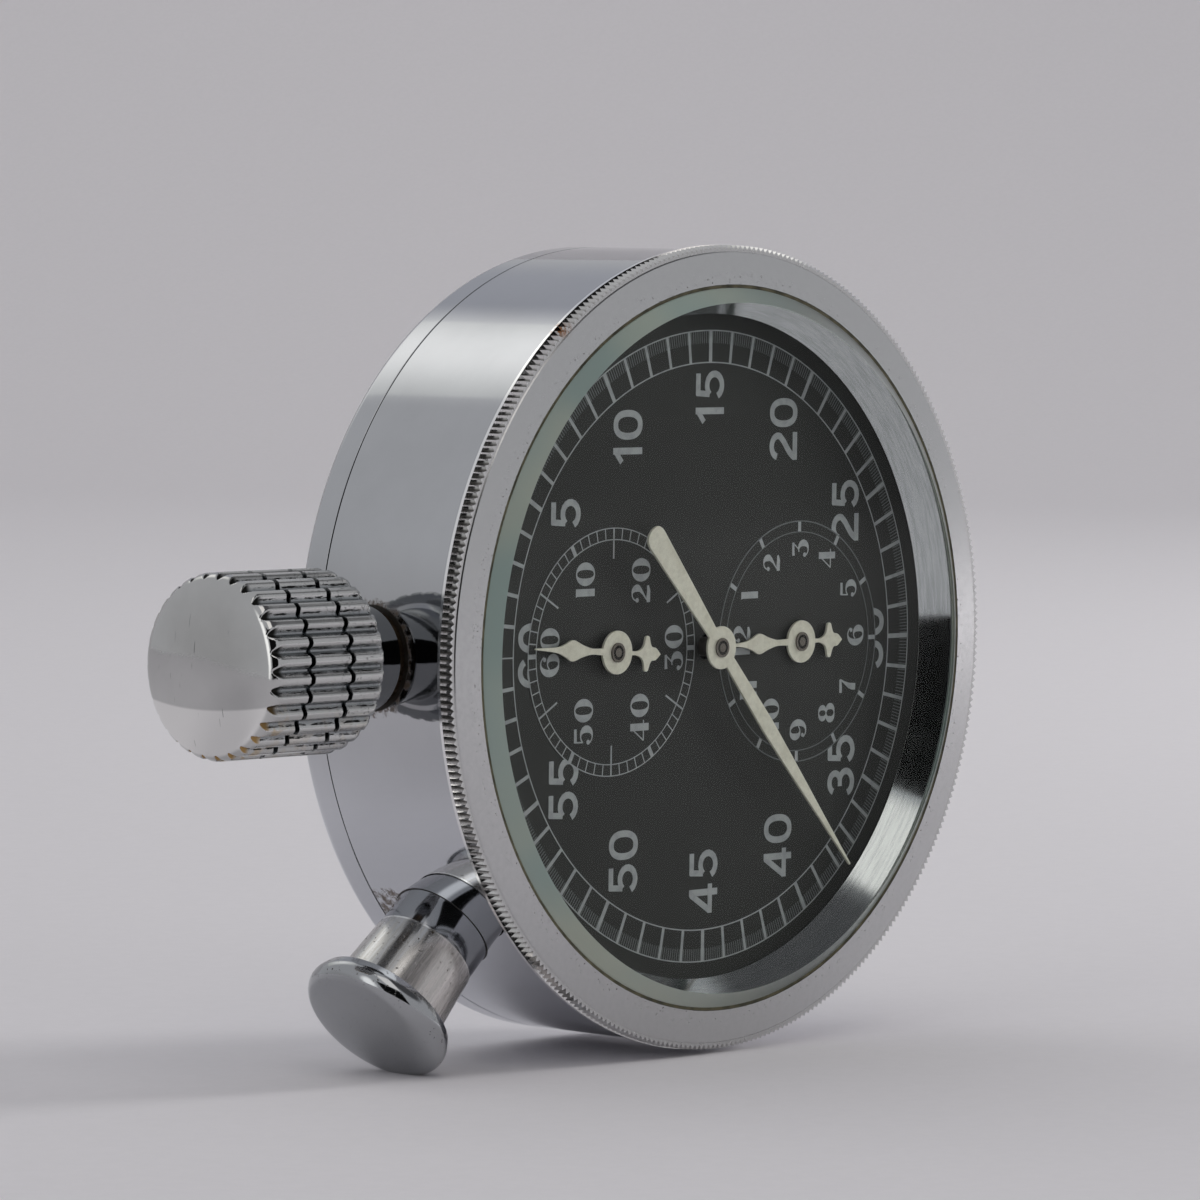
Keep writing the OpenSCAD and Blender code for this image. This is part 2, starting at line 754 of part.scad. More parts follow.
module minute_wheel() {
    color(brass) plate(minute_back, wheel_t) translate(minute_at)
        spoked(gear_outline(minute_teeth, minute_m, angle_to(minute_at, third_at)),
            7.8, 2, arbor_r, 5, 0.8);
}

module great_pinion() {
    color(steel) pinion(minute_at, great_leaves, barrel_m,
        barrel_angle + 180 / great_leaves, barrel_front - 0.7, 0.8, arbor_r);
}

module cannon_pinion() {
    color(steel) pinion(minute_at, cannon_teeth, motion_m, 180 / cannon_teeth,
        motion_back, wheel_t, arbor_r);
}

// The motion wheel turns on the centre pipe, with its pinion in front
module motion_wheel() {
    color(brass) union() {
        plate(motion_back, wheel_t) spoked(gear_outline(motion_teeth, motion_m, 180),
            6.2, 1.9, pipe_r + run_gap, 4, 0.8);
        pinion(centre, motion_leaves, hour_m, 0, motion_back, hour_back - motion_back
            + wheel_t, pipe_r + run_gap);
    }
}

module hour_arbor() {
    color(steel) union() {
        post(hour_at, plate_back - 0.35, plate_t + 0.4, post_d / 2);
        post(hour_at, plate_back - 0.35, 0.3, 1.3);
        post(hour_at, plate_front, dial_front - plate_front, arbor_r);
        post(hour_at, hour_hand_back - 0.6, blade_t + 0.7, post_d / 2);
    }
}

module hour_wheel() {
    color(brass) plate(hour_back, wheel_t) translate(hour_at)
        spoked(gear_outline(hour_teeth, hour_m, 180 + 180 / hour_teeth),
            6.8, 1.9, arbor_r, 4, 0.8);
}

module third_arbor() {
    color(steel) union() {
        post(third_at, bridge_front + 0.1, plate_back - bridge_front - 0.1, arbor_r);
        post(third_at, bridge_front - 0.8, plate_back - bridge_front + 1.6, pivot_r);
        pinion(third_at, leaf_teeth, minute_m,
            angle_to(third_at, minute_at) + 180 / leaf_teeth, minute_back - 0.1,
            wheel_t + 0.25, 0.1);
    }
}

module third_wheel() {
    color(brass) plate(third_back, wheel_t) translate(third_at)
        spoked(gear_outline(third_teeth, third_m, angle_to(third_at, centre)),
            7.9, 1.9, arbor_r, 5, 0.8);
}

module escape_arbor() {
    color(steel) union() {
        post(escape_at, bridge_front + 0.1, plate_back - bridge_front - 0.1, arbor_r);
        post(escape_at, bridge_front - 0.8, plate_back - bridge_front + 1.6, pivot_r);
        pinion(escape_at, escape_leaves, seconds_m,
            escape_angle + 180 + 180 / escape_leaves, seconds_back - 0.1, wheel_t + 0.3,
            0.1);
    }
}

// Club-toothed escape wheel, with its teeth set so that the pallets clear it
escape_back = cock_back + cock_t + 0.25;
module escape_wheel() {
    color(steel) plate(escape_back, 0.3) translate(escape_at) difference() {
        union() {
            circle(r = escape_r - 0.9);
            for (i = [0:escape_teeth - 1]) rotate(lever_angle + i * 360 / escape_teeth)
                polygon([[0.5, -0.45], [escape_r - 0.2, 0.02], [escape_r, 0.02],
                    [escape_r - 0.05, 0.2], [escape_r - 1, 0.3], [0.5, 0.5]]);
        }
        difference() {
            circle(r = escape_r - 1.3);
            circle(r = 1.1);
            for (i = [0:3]) rotate(i * 90) translate([0, -0.25]) square([escape_r, 0.5]);
        }
        circle(r = arbor_r);
    }
}

// Pallet fork with two stones and a notch for the balance. The stones stand
// just outside the wheel's teeth, at 30 degrees from the line of centres
module pallet_fork() {
    reach = escape_r / cos(30);
    stone = escape_r + 0.5;
    color(steel) union() {
        plate(escape_back, 0.3) translate(pallet_at) rotate(lever_angle) {
            for (s = [-1, 1]) {
                bar([0, 0], [-reach + (stone + 0.25) * cos(30), s * (stone + 0.25) / 2], 0.6);
                translate([-reach, 0]) rotate(s * 30) translate([stone, 0])
                    square([0.5, 0.6], center = true);
            }
            bar([0, 0], [4.2, 0], 0.45);
            bar([4.2, 0], [5.0, 0.45], 0.3);
            bar([4.2, 0], [5.0, -0.45], 0.3);
            circle(r = 0.42);
        }
        post(pallet_at, escape_back - 0.2, plate_back - escape_back + 0.15, 0.35);
        post(pallet_at, cock_back + 0.05, plate_back - cock_back + 0.7, pivot_r);
    }
}

// Balance wheel with two arms and timing screws in its rim
wheel_back = bridge_front + 0.55;
module balance_wheel() {
    rim_t = 0.5;
    color(brass) union() {
        plate(wheel_back, rim_t) translate(balance_at) difference() {
            circle(r = balance_r - 0.35);
            difference() {
                circle(r = balance_r - 1);
                circle(r = 1);
                rotate(lever_angle) translate([0, -0.4])
                    square([2 * balance_r, 0.8], center = false);
                rotate(lever_angle + 180) translate([0, -0.4])
                    square([2 * balance_r, 0.8], center = false);
            }
            circle(r = arbor_r);
        }
        translate([balance_at[0], -wheel_back - rim_t / 2, balance_at[1]])
            for (i = [0:11]) rotate([0, 15 + i * 30, 0])
                translate([0, 0, balance_r - 0.6]) cylinder(h = 0.6, r = 0.22, $fn = 24);
    }
}

module balance_staff() {
    color(steel) union() {
        post(balance_at, bridge_front + 0.1, plate_back - bridge_front - 0.1, arbor_r);
        post(balance_at, bridge_front - 0.8, plate_back - bridge_front + 1.6, pivot_r);
        post(balance_at, escape_back + 0.4, 0.3, 1.1);
        post(balance_at - 0.85 * dir(lever_angle), escape_back, 0.5, 0.12);
    }
}

// A flat spiral ribbon that ends at the angle end
function spiral(turns, inner, pitch, half, end) = [for (a = [0:15:360 * turns])
    (inner + pitch * a / 360 + half) * dir(a + end)];
function ribbon(turns, inner, pitch, thick, end) = concat(
    spiral(turns, inner, pitch, thick / 2, end),
    reverse(spiral(turns, inner, pitch, -thick / 2, end)));

// Balance spring, pinned to the cock by its stud
module hairspring() {
    turns = 8;
    inner = arbor_r + 0.3;
    pitch = 0.28;
    stud_at = balance_at + (inner + pitch * turns) * dir(cock_angle);
    color("midnightblue") union() {
        plate(bridge_front + 0.2, 0.15) translate(balance_at)
            polygon(ribbon(turns, inner, pitch, 0.08, cock_angle));
        post(stud_at, bridge_front, 0.35, 0.3);
    }
}

// Mainspring barrel and winding work

drum_r = barrel_m * barrel_teeth / 2 - 0.9;
drum_wall = 0.6;
module mainspring_barrel() {
    color(brass) union() {
        plate(barrel_front - 0.6, 0.6) translate(barrel_at) difference() {
            polygon(gear_outline(barrel_teeth, barrel_m, barrel_angle + 180));
            circle(r = barrel_hub_r + run_gap);
        }
        plate(barrel_back + 0.35, barrel_h - 0.95) translate(barrel_at) difference() {
            circle(r = drum_r);
            circle(r = drum_r - drum_wall);
        }
    }
}

module barrel_cover() {
    color(brass) plate(barrel_back, 0.35) translate(barrel_at) difference() {
        circle(r = drum_r);
        circle(r = barrel_hub_r + run_gap);
    }
}

module barrel_arbor() {
    color(steel) union() {
        post(barrel_at, bridge_back - 0.2, plate_back + 0.1 - bridge_back, barrel_hub_r);
        post(barrel_at, ratchet_back, plate_back - ratchet_back + 0.9, barrel_pivot_r);
        post(barrel_at, barrel_back + 0.5, barrel_h - 1.3, arbor_hub_r);
    }
}

arbor_hub_r = 2.2;
mainspring_t = 0.18;
module mainspring() {
    turns = 7;
    thick = mainspring_t;
    inner = arbor_hub_r + thick / 2 + 0.05;
    outer = drum_r - drum_wall - thick / 2 - 0.02;
    color("slategray") plate(barrel_back + 0.45, barrel_h - 1.2) translate(barrel_at)
        polygon(ribbon(turns, inner, (outer - inner) / turns, thick, 0));
}

module ratchet_wheel() {
    color(steel) plate(ratchet_back, winding_t) translate(barrel_at) difference() {
        polygon(gear_outline(ratchet_teeth, ratchet_m, angle_to(barrel_at, crown_wheel_at)));
        circle(r = barrel_pivot_r);
    }
}

// Transmission wheel and crown wheel on one arbor, through the barrel bridge
crown_wheel_back = knob_at - 2.35;
module crown_wheel() {
    color(steel) union() {
        plate(ratchet_back, winding_t) translate(crown_wheel_at) polygon(gear_outline(
            transfer_teeth, ratchet_m,
            angle_to(crown_wheel_at, barrel_at) + 180 / transfer_teeth));
        post(crown_wheel_at, ratchet_back, crown_wheel_back - ratchet_back + 0.1,
            crown_wheel_hub_r);
        pinion(crown_wheel_at, crown_wheel_teeth, crown_wheel_m, 180, crown_wheel_back,
            0.55, 0.1);
    }
}

// The click holds the ratchet wheel against the mainspring
module click() {
    nose = barrel_at + (tip_r(ratchet_teeth, ratchet_m) + 0.3) * dir(-30);
    color(steel) union() {
        plate(ratchet_back, winding_t) difference() {
            union() {
                bar(click_pivot, nose, 0.9);
                translate(click_pivot) circle(r = 1);
            }
            translate(barrel_at) circle(r = tip_r(ratchet_teeth, ratchet_m) + 0.12);
        }
        post(click_pivot, ratchet_back, bridge_front - ratchet_back, 0.38);
    }
}

// Crown, stem and winding pinion

crown_in = case_r + crown_gap;
stem_end = plate_r - 4.85;
pinion_at = stem_end + 0.1;
collar_r = 1.3;
module crown() {
    tip = crown_in + crown_len;
    crest = crown_d / 2;
    neck_in = case_r + crown_press + 0.15;
    bore_end = case_r + 1.75 + crown_press + 0.2;
    color(chrome) outward(crown_dir) difference() {
        rotate_extrude() polygon(concat(
            [[0, bore_end], [crown_tube_r + 0.05, bore_end],
             [crown_tube_r + 0.05, neck_in], [neck_d / 2, neck_in],
             [neck_d / 2, crown_in - 1.2], [neck_d / 2 + 0.9, crown_in - 0.5],
             [crest - 0.6, crown_in - 0.3], [crest, crown_in], [crest, tip - 0.3]],
            [for (k = [0:6]) let (r = (crest - 0.3) * (1 - k / 6))
                [r, tip + crown_dome * (1 - pow(r / (crest - 0.3), 2))]]));
        for (i = [0:flutes - 1]) rotate(i * 360 / flutes)
            translate([crest - 0.04, 0, crown_in - 2])
                cylinder(h = crown_len + 6, r = flute_r, $fn = 24);
        for (at = [0.29, 0.66]) translate([0, 0, crown_in + at * crown_len])
            rotate_extrude() translate([crest - 0.42, -0.2]) square([2, 0.4]);
        translate([0, 0, case_r]) cylinder(h = crown_gap + 2, r = stem_r);
    }
}

// The stem is square where it slides through the winding pinion
module winding_stem() {
    color(steel) outward(crown_dir) union() {
        translate([0, 0, stem_end + 2.6]) cylinder(h = case_r + crown_gap + 2 - stem_end - 2.6,
            r = stem_r);
        translate([-stem_square / 2, -stem_square / 2, stem_end + crown_press + 0.1])
            cube([stem_square, stem_square, 2.8 - crown_press]);
        translate([0, 0, stem_end + 3.2]) cylinder(h = 0.4, r = 1.5);
    }
}

module winding_pinion() {
    color(steel) outward(crown_dir) translate([0, 0, pinion_at]) linear_extrude(1.6)
        difference() {
            polygon(gear_outline(winding_teeth, crown_wheel_m, 90 + 180 / winding_teeth));
            square(stem_square + 2 * run_gap, center = true);
        }
}

// Levers

// Start lever, pushed by the collar on the stem, and the brake lever that it
// turns, with a shoe beside the balance
lever_t = 0.4;
lever_back = barrel_front - 0.35;
start_arm = 7.802;
start_nose = [-stem_end - 2.85, 1.25];
start_pivot = start_nose + start_arm * dir(83.376);
start_tip = start_pivot + [2.3, 3];
brake_pivot = third_at + (tip_r(third_teeth, third_m) + lever_post_r + 0.35) * dir(136.5);
brake_end = start_tip + [0.6, 1.15];
shoe_at = balance_at + (balance_r + 2.1) * dir(73);
brake_bend = [0, 13.4];

module start_lever() {
    color(steel) union() {
        plate(lever_back, lever_t) {
            bar(start_pivot, start_nose, 0.8);
            bar(start_pivot, start_tip, 0.9);
            translate(start_pivot) circle(r = 0.95);
        }
        post(start_nose, lever_back, knob_at - 0.15 - lever_back, 0.25);
        post(start_pivot, lever_back, plate_back - lever_back + 0.8, lever_post_r);
    }
}

module brake_lever() {
    color(steel) union() {
        plate(lever_back, lever_t) {
            bar(brake_pivot, brake_end, 0.9);
            bar(brake_pivot, brake_bend, 1.1);
            bar(brake_bend, shoe_at, 0.9);
            translate(brake_pivot) circle(r = 1.1);
        }
        post(shoe_at, wheel_back + 0.1, lever_back - wheel_back + 0.2, 0.4);
        post(brake_pivot, lever_back, plate_back - lever_back + 0.8, lever_post_r);
    }
}

// Pusher: a mushroom cap whose sleeve slides over the fixed tube
module pusher_cap() {
    sleeve_in = case_r + tube_shown;
    sleeve_r = sleeve_d / 2;
    head_r = head_d / 2;
    color(chrome) outward(pusher_dir) rotate_extrude() polygon(concat(
        [[tube_r + 0.08, sleeve_in], [sleeve_r, sleeve_in], [sleeve_r, head_at - 1.1],
         [head_r - 0.9, head_at - 0.95], [head_r - 0.25, head_at - 0.6]],
        [for (a = [0:15:75]) [head_r * cos(a), head_at + head_dome * sin(a)]],
        [[0, head_at + head_dome], [0, head_at - 1.9], [tube_r + 0.08, head_at - 1.9]]));
}

push_stem_end = plate_r - 4;
collar_at = ring_r - 1.5 - 0.5;
module pusher_stem() {
    color(steel) outward(pusher_dir) union() {
        translate([0, 0, push_stem_end])
            cylinder(h = head_at - 1.9 - push_stem_end, r = push_stem_r);
        translate([0, 0, collar_at]) cylinder(h = 0.4, r = collar_r);
    }
}

// Return spring in the pusher's tube, one unbroken wire
spring_turns = 6;
spring_wire = 0.25;
spring_mean_r = 2.2;
spring_in = spring_seat + 0.35;
spring_out = head_at - 2.25;
module pusher_spring() {
    sides = 6;
    rings = 8 * spring_turns;
    pitch = (spring_out - spring_in) / spring_turns;
    points = [for (k = [0:rings], j = [0:sides - 1]) let (
        a = k * 45, b = j * 360 / sides, r = spring_mean_r + spring_wire * cos(b)
    ) [r * cos(a), r * sin(a), spring_in + pitch * k / 8 + spring_wire * sin(b)]];
    walls = [for (k = [0:rings - 1], j = [0:sides - 1], half = [0, 1]) let (
        p = k * sides + j, q = k * sides + (j + 1) % sides
    ) half == 0 ? [p, q, q + sides] : [p, q + sides, p + sides]];
    ends = concat(
        [for (j = [1:sides - 2]) [0, j + 1, j]],
        [for (j = [1:sides - 2]) let (last = rings * sides) [last, last + j, last + j + 1]]);
    color(steel) outward(pusher_dir) polyhedron(points, concat(walls, ends));
}

// Flyback lever under the dial: its post is pushed by the pusher's stem
reset_arm = 9;
reset_post_r = 0.6;
reset_pivot_r = 0.76;
reset_post = (push_stem_end - reset_post_r - 0.1) * dir(pusher_dir);
reset_pivot = reset_post + reset_arm * dir(pusher_dir - 90);
beam_z = -12.4;
finger_ends = [-4.75, -6.85, -8.9];
module reset_lever() {
    fingers = [[-register_x, finger_ends[0]], [0, finger_ends[1]], [register_x, finger_ends[2]]];
    color(steel) union() {
        plate(heart_back, heart_t) {
            bar(reset_pivot, reset_post, 1.8);
            bar(reset_post, [-register_x, beam_z], 1.8);
            bar([-register_x, beam_z], [register_x, beam_z], 1.8);
            for (f = fingers) translate([f[0] - 0.7, beam_z]) square([1.4, f[1] - beam_z]);
            translate(reset_pivot) circle(r = 1.5);
        }
        post(reset_post, plate_back - 1.4, heart_back - plate_back + 1.5, reset_post_r);
        post(reset_pivot, plate_front - 0.8, heart_back - plate_front + 0.9, reset_pivot_r);
    }
}

case_band();
rear_cover();
bezel();
crystal();
crystal_seal();
dial_surround();
dial();
movement_ring();
main_plate();
train_bridge();
barrel_bridge();
balance_cock();
pallet_cock();
centre_pipe();
jewels();
bridge_screws();
movement_clamps();
clamp_screws();
crown_tube();
pusher_tube();
seconds_hand();
seconds_arbor();
seconds_pinion();
seconds_wheel();
seconds_heart();
minute_hand();
minute_arbor();
minute_wheel();
great_pinion();
cannon_pinion();
minute_heart();
hour_hand();
hour_arbor();
hour_wheel();
hour_heart();
motion_wheel();
third_arbor();
third_wheel();
escape_arbor();
escape_wheel();
pallet_fork();
balance_wheel();
balance_staff();
hairspring();
mainspring_barrel();
barrel_cover();
barrel_arbor();
mainspring();
ratchet_wheel();
crown_wheel();
click();
crown();
winding_stem();
winding_pinion();
start_lever();
brake_lever();
pusher_cap();
pusher_stem();
pusher_spring();
reset_lever();
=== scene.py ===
import json
import math

import bmesh
import bpy
from mathutils import Matrix, Vector


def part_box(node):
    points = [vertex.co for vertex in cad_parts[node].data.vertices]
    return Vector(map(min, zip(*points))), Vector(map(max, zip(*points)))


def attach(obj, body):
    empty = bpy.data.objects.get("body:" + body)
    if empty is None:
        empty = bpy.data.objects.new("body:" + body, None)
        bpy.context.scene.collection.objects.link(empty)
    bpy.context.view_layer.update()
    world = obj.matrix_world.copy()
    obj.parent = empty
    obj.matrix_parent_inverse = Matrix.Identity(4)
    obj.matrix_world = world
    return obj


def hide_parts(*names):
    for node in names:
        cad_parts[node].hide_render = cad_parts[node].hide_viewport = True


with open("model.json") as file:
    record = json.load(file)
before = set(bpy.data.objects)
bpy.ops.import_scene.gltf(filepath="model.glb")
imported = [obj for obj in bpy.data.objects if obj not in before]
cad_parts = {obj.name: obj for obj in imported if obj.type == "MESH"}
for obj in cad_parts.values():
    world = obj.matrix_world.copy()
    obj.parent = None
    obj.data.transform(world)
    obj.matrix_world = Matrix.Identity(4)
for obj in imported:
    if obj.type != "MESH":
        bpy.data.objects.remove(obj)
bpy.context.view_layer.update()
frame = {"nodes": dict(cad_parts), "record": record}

# The stand camera: a long lens, a little above the crown's axis and to the
# left of the dial, so that the drum's side and the dial both show.
MM = 0.001
camera_at = Vector((-352.57, -320.30, 29.94)) * MM
camera_right = Vector((0.66941, -0.74278, 0.01296))
camera_up = Vector((0.03366, 0.04776, 0.99829))
camera_ahead = Vector((0.74213, 0.66783, -0.05697))
lens = bpy.data.cameras.new("stand_camera")
lens.lens = 194.775
lens.sensor_width = 36
lens.clip_start = 0.05
lens.clip_end = 6


def in_scene(thing):
    """Puts an object in the scene."""
    bpy.context.scene.collection.objects.link(thing)
    return thing


camera = in_scene(bpy.data.objects.new("stand_camera", lens))
camera.matrix_world = Matrix((
    (*camera_right, 0), (*camera_up, 0), (*-camera_ahead, 0), (*camera_at, 1))).transposed()
bpy.context.scene.camera = camera
bpy.context.scene.view_settings.view_transform = "Standard"

# The paper sweep that the watch stands on: a pale lilac-grey sheet that lies
# flat under the watch and curves up behind it.
paper_level = min(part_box("bezel")[0].z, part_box("pusher_cap")[0].z)
paper_colour = (0.85, 0.827, 0.855, 1)
paper_shade = (0.837, 0.815, 0.842, 1)
paper_flat = 0.95
paper_bend = 0.45
paper_height = 0.62
paper_half_width = 1.6


def feed(node, **inputs):
    """Sets or links a node's inputs by name (_ for a space) or number (i0)."""
    for key, value in inputs.items():
        socket = node.inputs[int(key[1:]) if key[1:].isdigit() else key.replace("_", " ")]
        if isinstance(value, bpy.types.NodeSocket):
            node.id_data.links.new(value, socket)
        else:
            socket.default_value = value


def add(tree, kind, settings=None, **inputs):
    """A shader node with its settings and inputs."""
    made = tree.nodes.new("ShaderNode" + kind)
    for key, value in (settings or {}).items():
        setattr(made, key, value)
    feed(made, **inputs)
    return made


def material(name):
    """A new material, its node tree, its main shader and its coordinates."""
    made = bpy.data.materials.new(name)
    made.use_nodes = True
    tree = made.node_tree
    return made, tree, tree.nodes["Principled BSDF"], add(tree, "TexCoord").outputs["Object"]


def grain(tree, where, scale, detail=3.0, roughness=0.5):
    """Even noise from 0 to 1 at a scale in features per metre."""
    return add(tree, "TexNoise", Vector=where, Scale=scale, Detail=detail,
               Roughness=roughness).outputs["Fac"]


def between(tree, value, low, high, to_low=0.0, to_high=1.0):
    """Maps low..high of a value to to_low..to_high, smoothly and clamped."""
    return add(tree, "MapRange", {"interpolation_type": "SMOOTHSTEP"}, i0=value, i1=low,
               i2=high, i3=to_low, i4=to_high).outputs[0]


def blend(tree, amount, first, second):
    """Mixes two colours by an amount."""
    return add(tree, "Mix", {"data_type": "RGBA"}, i0=amount, i6=first,
               i7=second).outputs[2]


def layered(tree, colour, *layers):
    """A colour with others laid over it, each as (amount, colour)."""
    for amount, over in layers:
        colour = blend(tree, amount, colour, over)
    return colour


def maths(tree, operation, first, second=0.0):
    """One step of arithmetic on two values."""
    return add(tree, "Math", {"operation": operation}, i0=first, i1=second).outputs[0]


def times(tree, *values):
    """The product of two values or more."""
    out = values[0]
    for value in values[1:]:
        out = maths(tree, "MULTIPLY", out, value)
    return out


def on_circle(radius, degrees):
    """A point on a circle, as (along the start, across it)."""
    return (radius * math.cos(math.radians(degrees)), radius * math.sin(math.radians(degrees)))


def mesh_piece(name, points, faces):
    """A new object from points in millimetres and faces."""
    shape = bpy.data.meshes.new(name)
    shape.from_pydata([Vector(p) * MM for p in points], [], faces)
    shape.validate()
    return in_scene(bpy.data.objects.new(name, shape))


ahead = Vector((camera_ahead.x, camera_ahead.y, 0)).normalized()
aside = Vector((ahead.y, -ahead.x, 0))
sweep_line = [(-0.21, 0.0), (0.2, 0.0)]
for rise, run in (on_circle(paper_bend, a) for a in range(0, 81, 5)):
    sweep_line.append((paper_flat + run, paper_bend - rise))
sweep_line += [(paper_flat + paper_bend + 0.04, paper_height)]
sweep_points = [(ahead * along + aside * side + Vector((0, 0, paper_level + up))) / MM
                for along, up in sweep_line for side in (-paper_half_width, paper_half_width)]
sweep_faces = [(i, i + 1, i + 3, i + 2) for i in range(0, len(sweep_points) - 2, 2)]
paper = mesh_piece("paper_sweep", sweep_points, sweep_faces)
for face in paper.data.polygons:
    face.use_smooth = True
made, tree, shader, where = material("matt_paper")
fibre = between(tree, grain(tree, where, 900.0, 4.0), 0.3, 0.7)
feed(shader, Base_Color=blend(tree, fibre, paper_colour, paper_shade), Roughness=0.85,
     Specular_IOR_Level=0.15)
paper.data.materials.append(made)

# The light tent: an even grey all round. One soft light stands behind the
# watch and one above the camera, and the dark room shows round the camera;
# these patches are what the polished metal mirrors.
tent = bpy.data.worlds.new("light_tent")
bpy.context.scene.world = tent
tent.use_nodes = True
tree = tent.node_tree
sky = tree.nodes["Background"]
aim = add(tree, "TexCoord").outputs["Generated"]
tent_grey = (0.50, 0.505, 0.52, 1)
pale_grey = (0.475, 0.457, 0.482, 1)


def way_to(azimuth, elevation):
    """The direction at an azimuth and an elevation in degrees."""
    level, up = on_circle(1, elevation)
    return Vector((*on_circle(level, azimuth), up))


def facing(tree, aim, way):
    """How far a direction points along a way."""
    return add(tree, "VectorMath", {"operation": "DOT_PRODUCT"}, i0=aim,
               i1=way).outputs["Value"]


def span(tree, first, second):
    """The length of two values at a right angle."""
    flat = add(tree, "CombineXYZ", X=first, Y=second).outputs[0]
    return add(tree, "VectorMath", {"operation": "LENGTH"}, i0=flat).outputs["Value"]


def patch(tree, aim, azimuth, elevation, half_width, half_height, edge, square):
    """Where a direction meets a patch of the tent; all angles in degrees."""
    out = way_to(azimuth, elevation)
    across = way_to(azimuth + 90, 0)
    depth = facing(tree, aim, out)
    shares = []
    for way, half in ((across, half_width), (out.cross(across), half_height)):
        share = maths(tree, "DIVIDE", facing(tree, aim, way),
                      maths(tree, "MAXIMUM", depth, 0.02))
        share = times(tree, share, 1 / math.tan(math.radians(half)))
        shares.append(maths(tree, "ABSOLUTE", share))
    reach = maths(tree, "MAXIMUM", *shares) if square else span(tree, *shares)
    inside = between(tree, reach, 1 - edge, 1 + edge, 1.0, 0.0)
    return times(tree, inside, maths(tree, "GREATER_THAN", depth, 0.02))


glow = layered(tree, tent_grey, *((patch(tree, aim, *shape), colour) for *shape, colour in (
    (140, 2, 24, 12, 0.7, False, (0.43, 0.43, 0.44, 1)),
    (52, 46, 18, 20, 0.4, False, (0.42, 0.43, 0.47, 1)),
    (88, 46, 11.2, 20, 0.05, True, (0.66, 0.67, 0.66, 1)),
    (85, 47, 9, 12, 0.9, False, (1.24, 1.235, 1.21, 1)),
    (-52, 50, 30, 22, 0.25, False, (0.09, 0.09, 0.095, 1)),
    (-132, 10, 24, 24.3, 0.03, True, (0.005, 0.005, 0.005, 1)),
    (-118, 54, 12.5, 18, 0.10, True, (1.12, 1.09, 1.06, 1)),
    (184, 12, 10, 21, 0.5, False, (1.5, 1.5, 1.48, 1)))))
seen = add(tree, "LightPath")
feed(sky, Color=blend(tree, seen.outputs["Is Camera Ray"], glow, pale_grey), Strength=1.0)


def softbox(name, azimuth, elevation, distance, width, height, radiance):
    """A rectangular lamp that faces the watch, from its direction and size."""
    out = way_to(azimuth, elevation)
    lamp = bpy.data.lights.new(name, "AREA")
    lamp.shape = "RECTANGLE"
    lamp.size, lamp.size_y = width, height
    lamp.energy = radiance * math.pi * width * height
    lamp.color = (1.0, 0.995, 0.985)
    holder = in_scene(bpy.data.objects.new(name, lamp))
    holder.location = out * distance
    holder.visible_glossy = False
    holder.rotation_mode = "QUATERNION"
    holder.rotation_quaternion = out.to_track_quat("Z", "Y")


softbox("low_side_light", -20, 12.5, 0.9, 0.20, 0.20, 34.0)

# Drum: one deep-drawn and turned brass shell, polished and chromed. The rear
# cover closes it with a fine seam, and the two tubes stand on its side.
drum_radius = 28.65
drum_inner = 27.15
drum_seam = 2.4
drum_shoulder = 14.13
knob_depth = 7.35
tarnish = (0.115, 0.068, 0.034, 1)
foot_dirt = (0.022, 0.017, 0.012, 1)


def rounded(outline, radius, steps=4):
    """Rounds the corners of a closed outline that turn by over 20 degrees."""
    out = []
    for i, here in enumerate(outline):
        before, after = Vector(outline[i - 1]), Vector(outline[(i + 1) % len(outline)])
        here = Vector(here)
        to_before, to_after = before - here, after - here
        room = min(to_before.length, to_after.length) * 0.45
        turn = math.pi - to_before.angle(to_after)
        if turn < math.radians(20) or here.x == 0:
            out.append(tuple(here))
            continue
        cut = min(radius * math.tan(turn / 2), room)
        start = here + to_before.normalized() * cut
        end = here + to_after.normalized() * cut
        for k in range(steps + 1):
            t = k / steps
            out.append(tuple(start * (1 - t) ** 2 + here * 2 * t * (1 - t) + end * t * t))
    return out


def turned(name, outline, axis=(0, -1, 0), start=(0, 0, 0), steps=360):
    """A turned piece: a closed outline of (radius, distance along) in mm."""
    axis = Vector(axis).normalized()
    start = Vector(start)
    side = axis.orthogonal().normalized() if abs(axis.y) < 0.9 else Vector((1, 0, 0))
    other = axis.cross(side)
    points, rings = [], []
    for radius, along in outline:
        ring = []
        for k in range(1 if radius == 0 else steps):
            out, up = on_circle(radius, 360 * k / steps)
            ring.append(len(points))
            points.append(start + axis * along + side * out + other * up)
        rings.append(ring)
    faces = []
    for a, b in zip(rings, rings[1:] + rings[:1]):
        faces += between_rings(a, b)
    piece = mesh_piece(name, points, faces)
    true_up(piece)
    return piece


def between_rings(a, b):
    """Faces between two rings of points; a ring of one point is a pole."""
    count = max(len(a), len(b))
    if count == 1:
        return []
    faces = []
    for k in range(count):
        n = (k + 1) % count
        if len(a) == 1:
            faces.append((a[0], b[n], b[k]))
        elif len(b) == 1:
            faces.append((a[k], a[n], b[0]))
        else:
            faces.append((a[k], a[n], b[n], b[k]))
    return faces


def true_up(piece, sharp=30.0):
    """Outward faces, smooth shading and normals that keep flats flat."""
    bm = bmesh.new()
    bm.from_mesh(piece.data)
    bmesh.ops.recalc_face_normals(bm, faces=bm.faces)
    for face in bm.faces:
        face.smooth = True
    for edge in bm.edges:
        edge.smooth = not (len(edge.link_faces) == 2
                           and edge.calc_face_angle(0) > math.radians(sharp))
    bm.to_mesh(piece.data)
    bm.free()
    weigh = piece.modifiers.new("flats", "WEIGHTED_NORMAL")
    weigh.keep_sharp = True


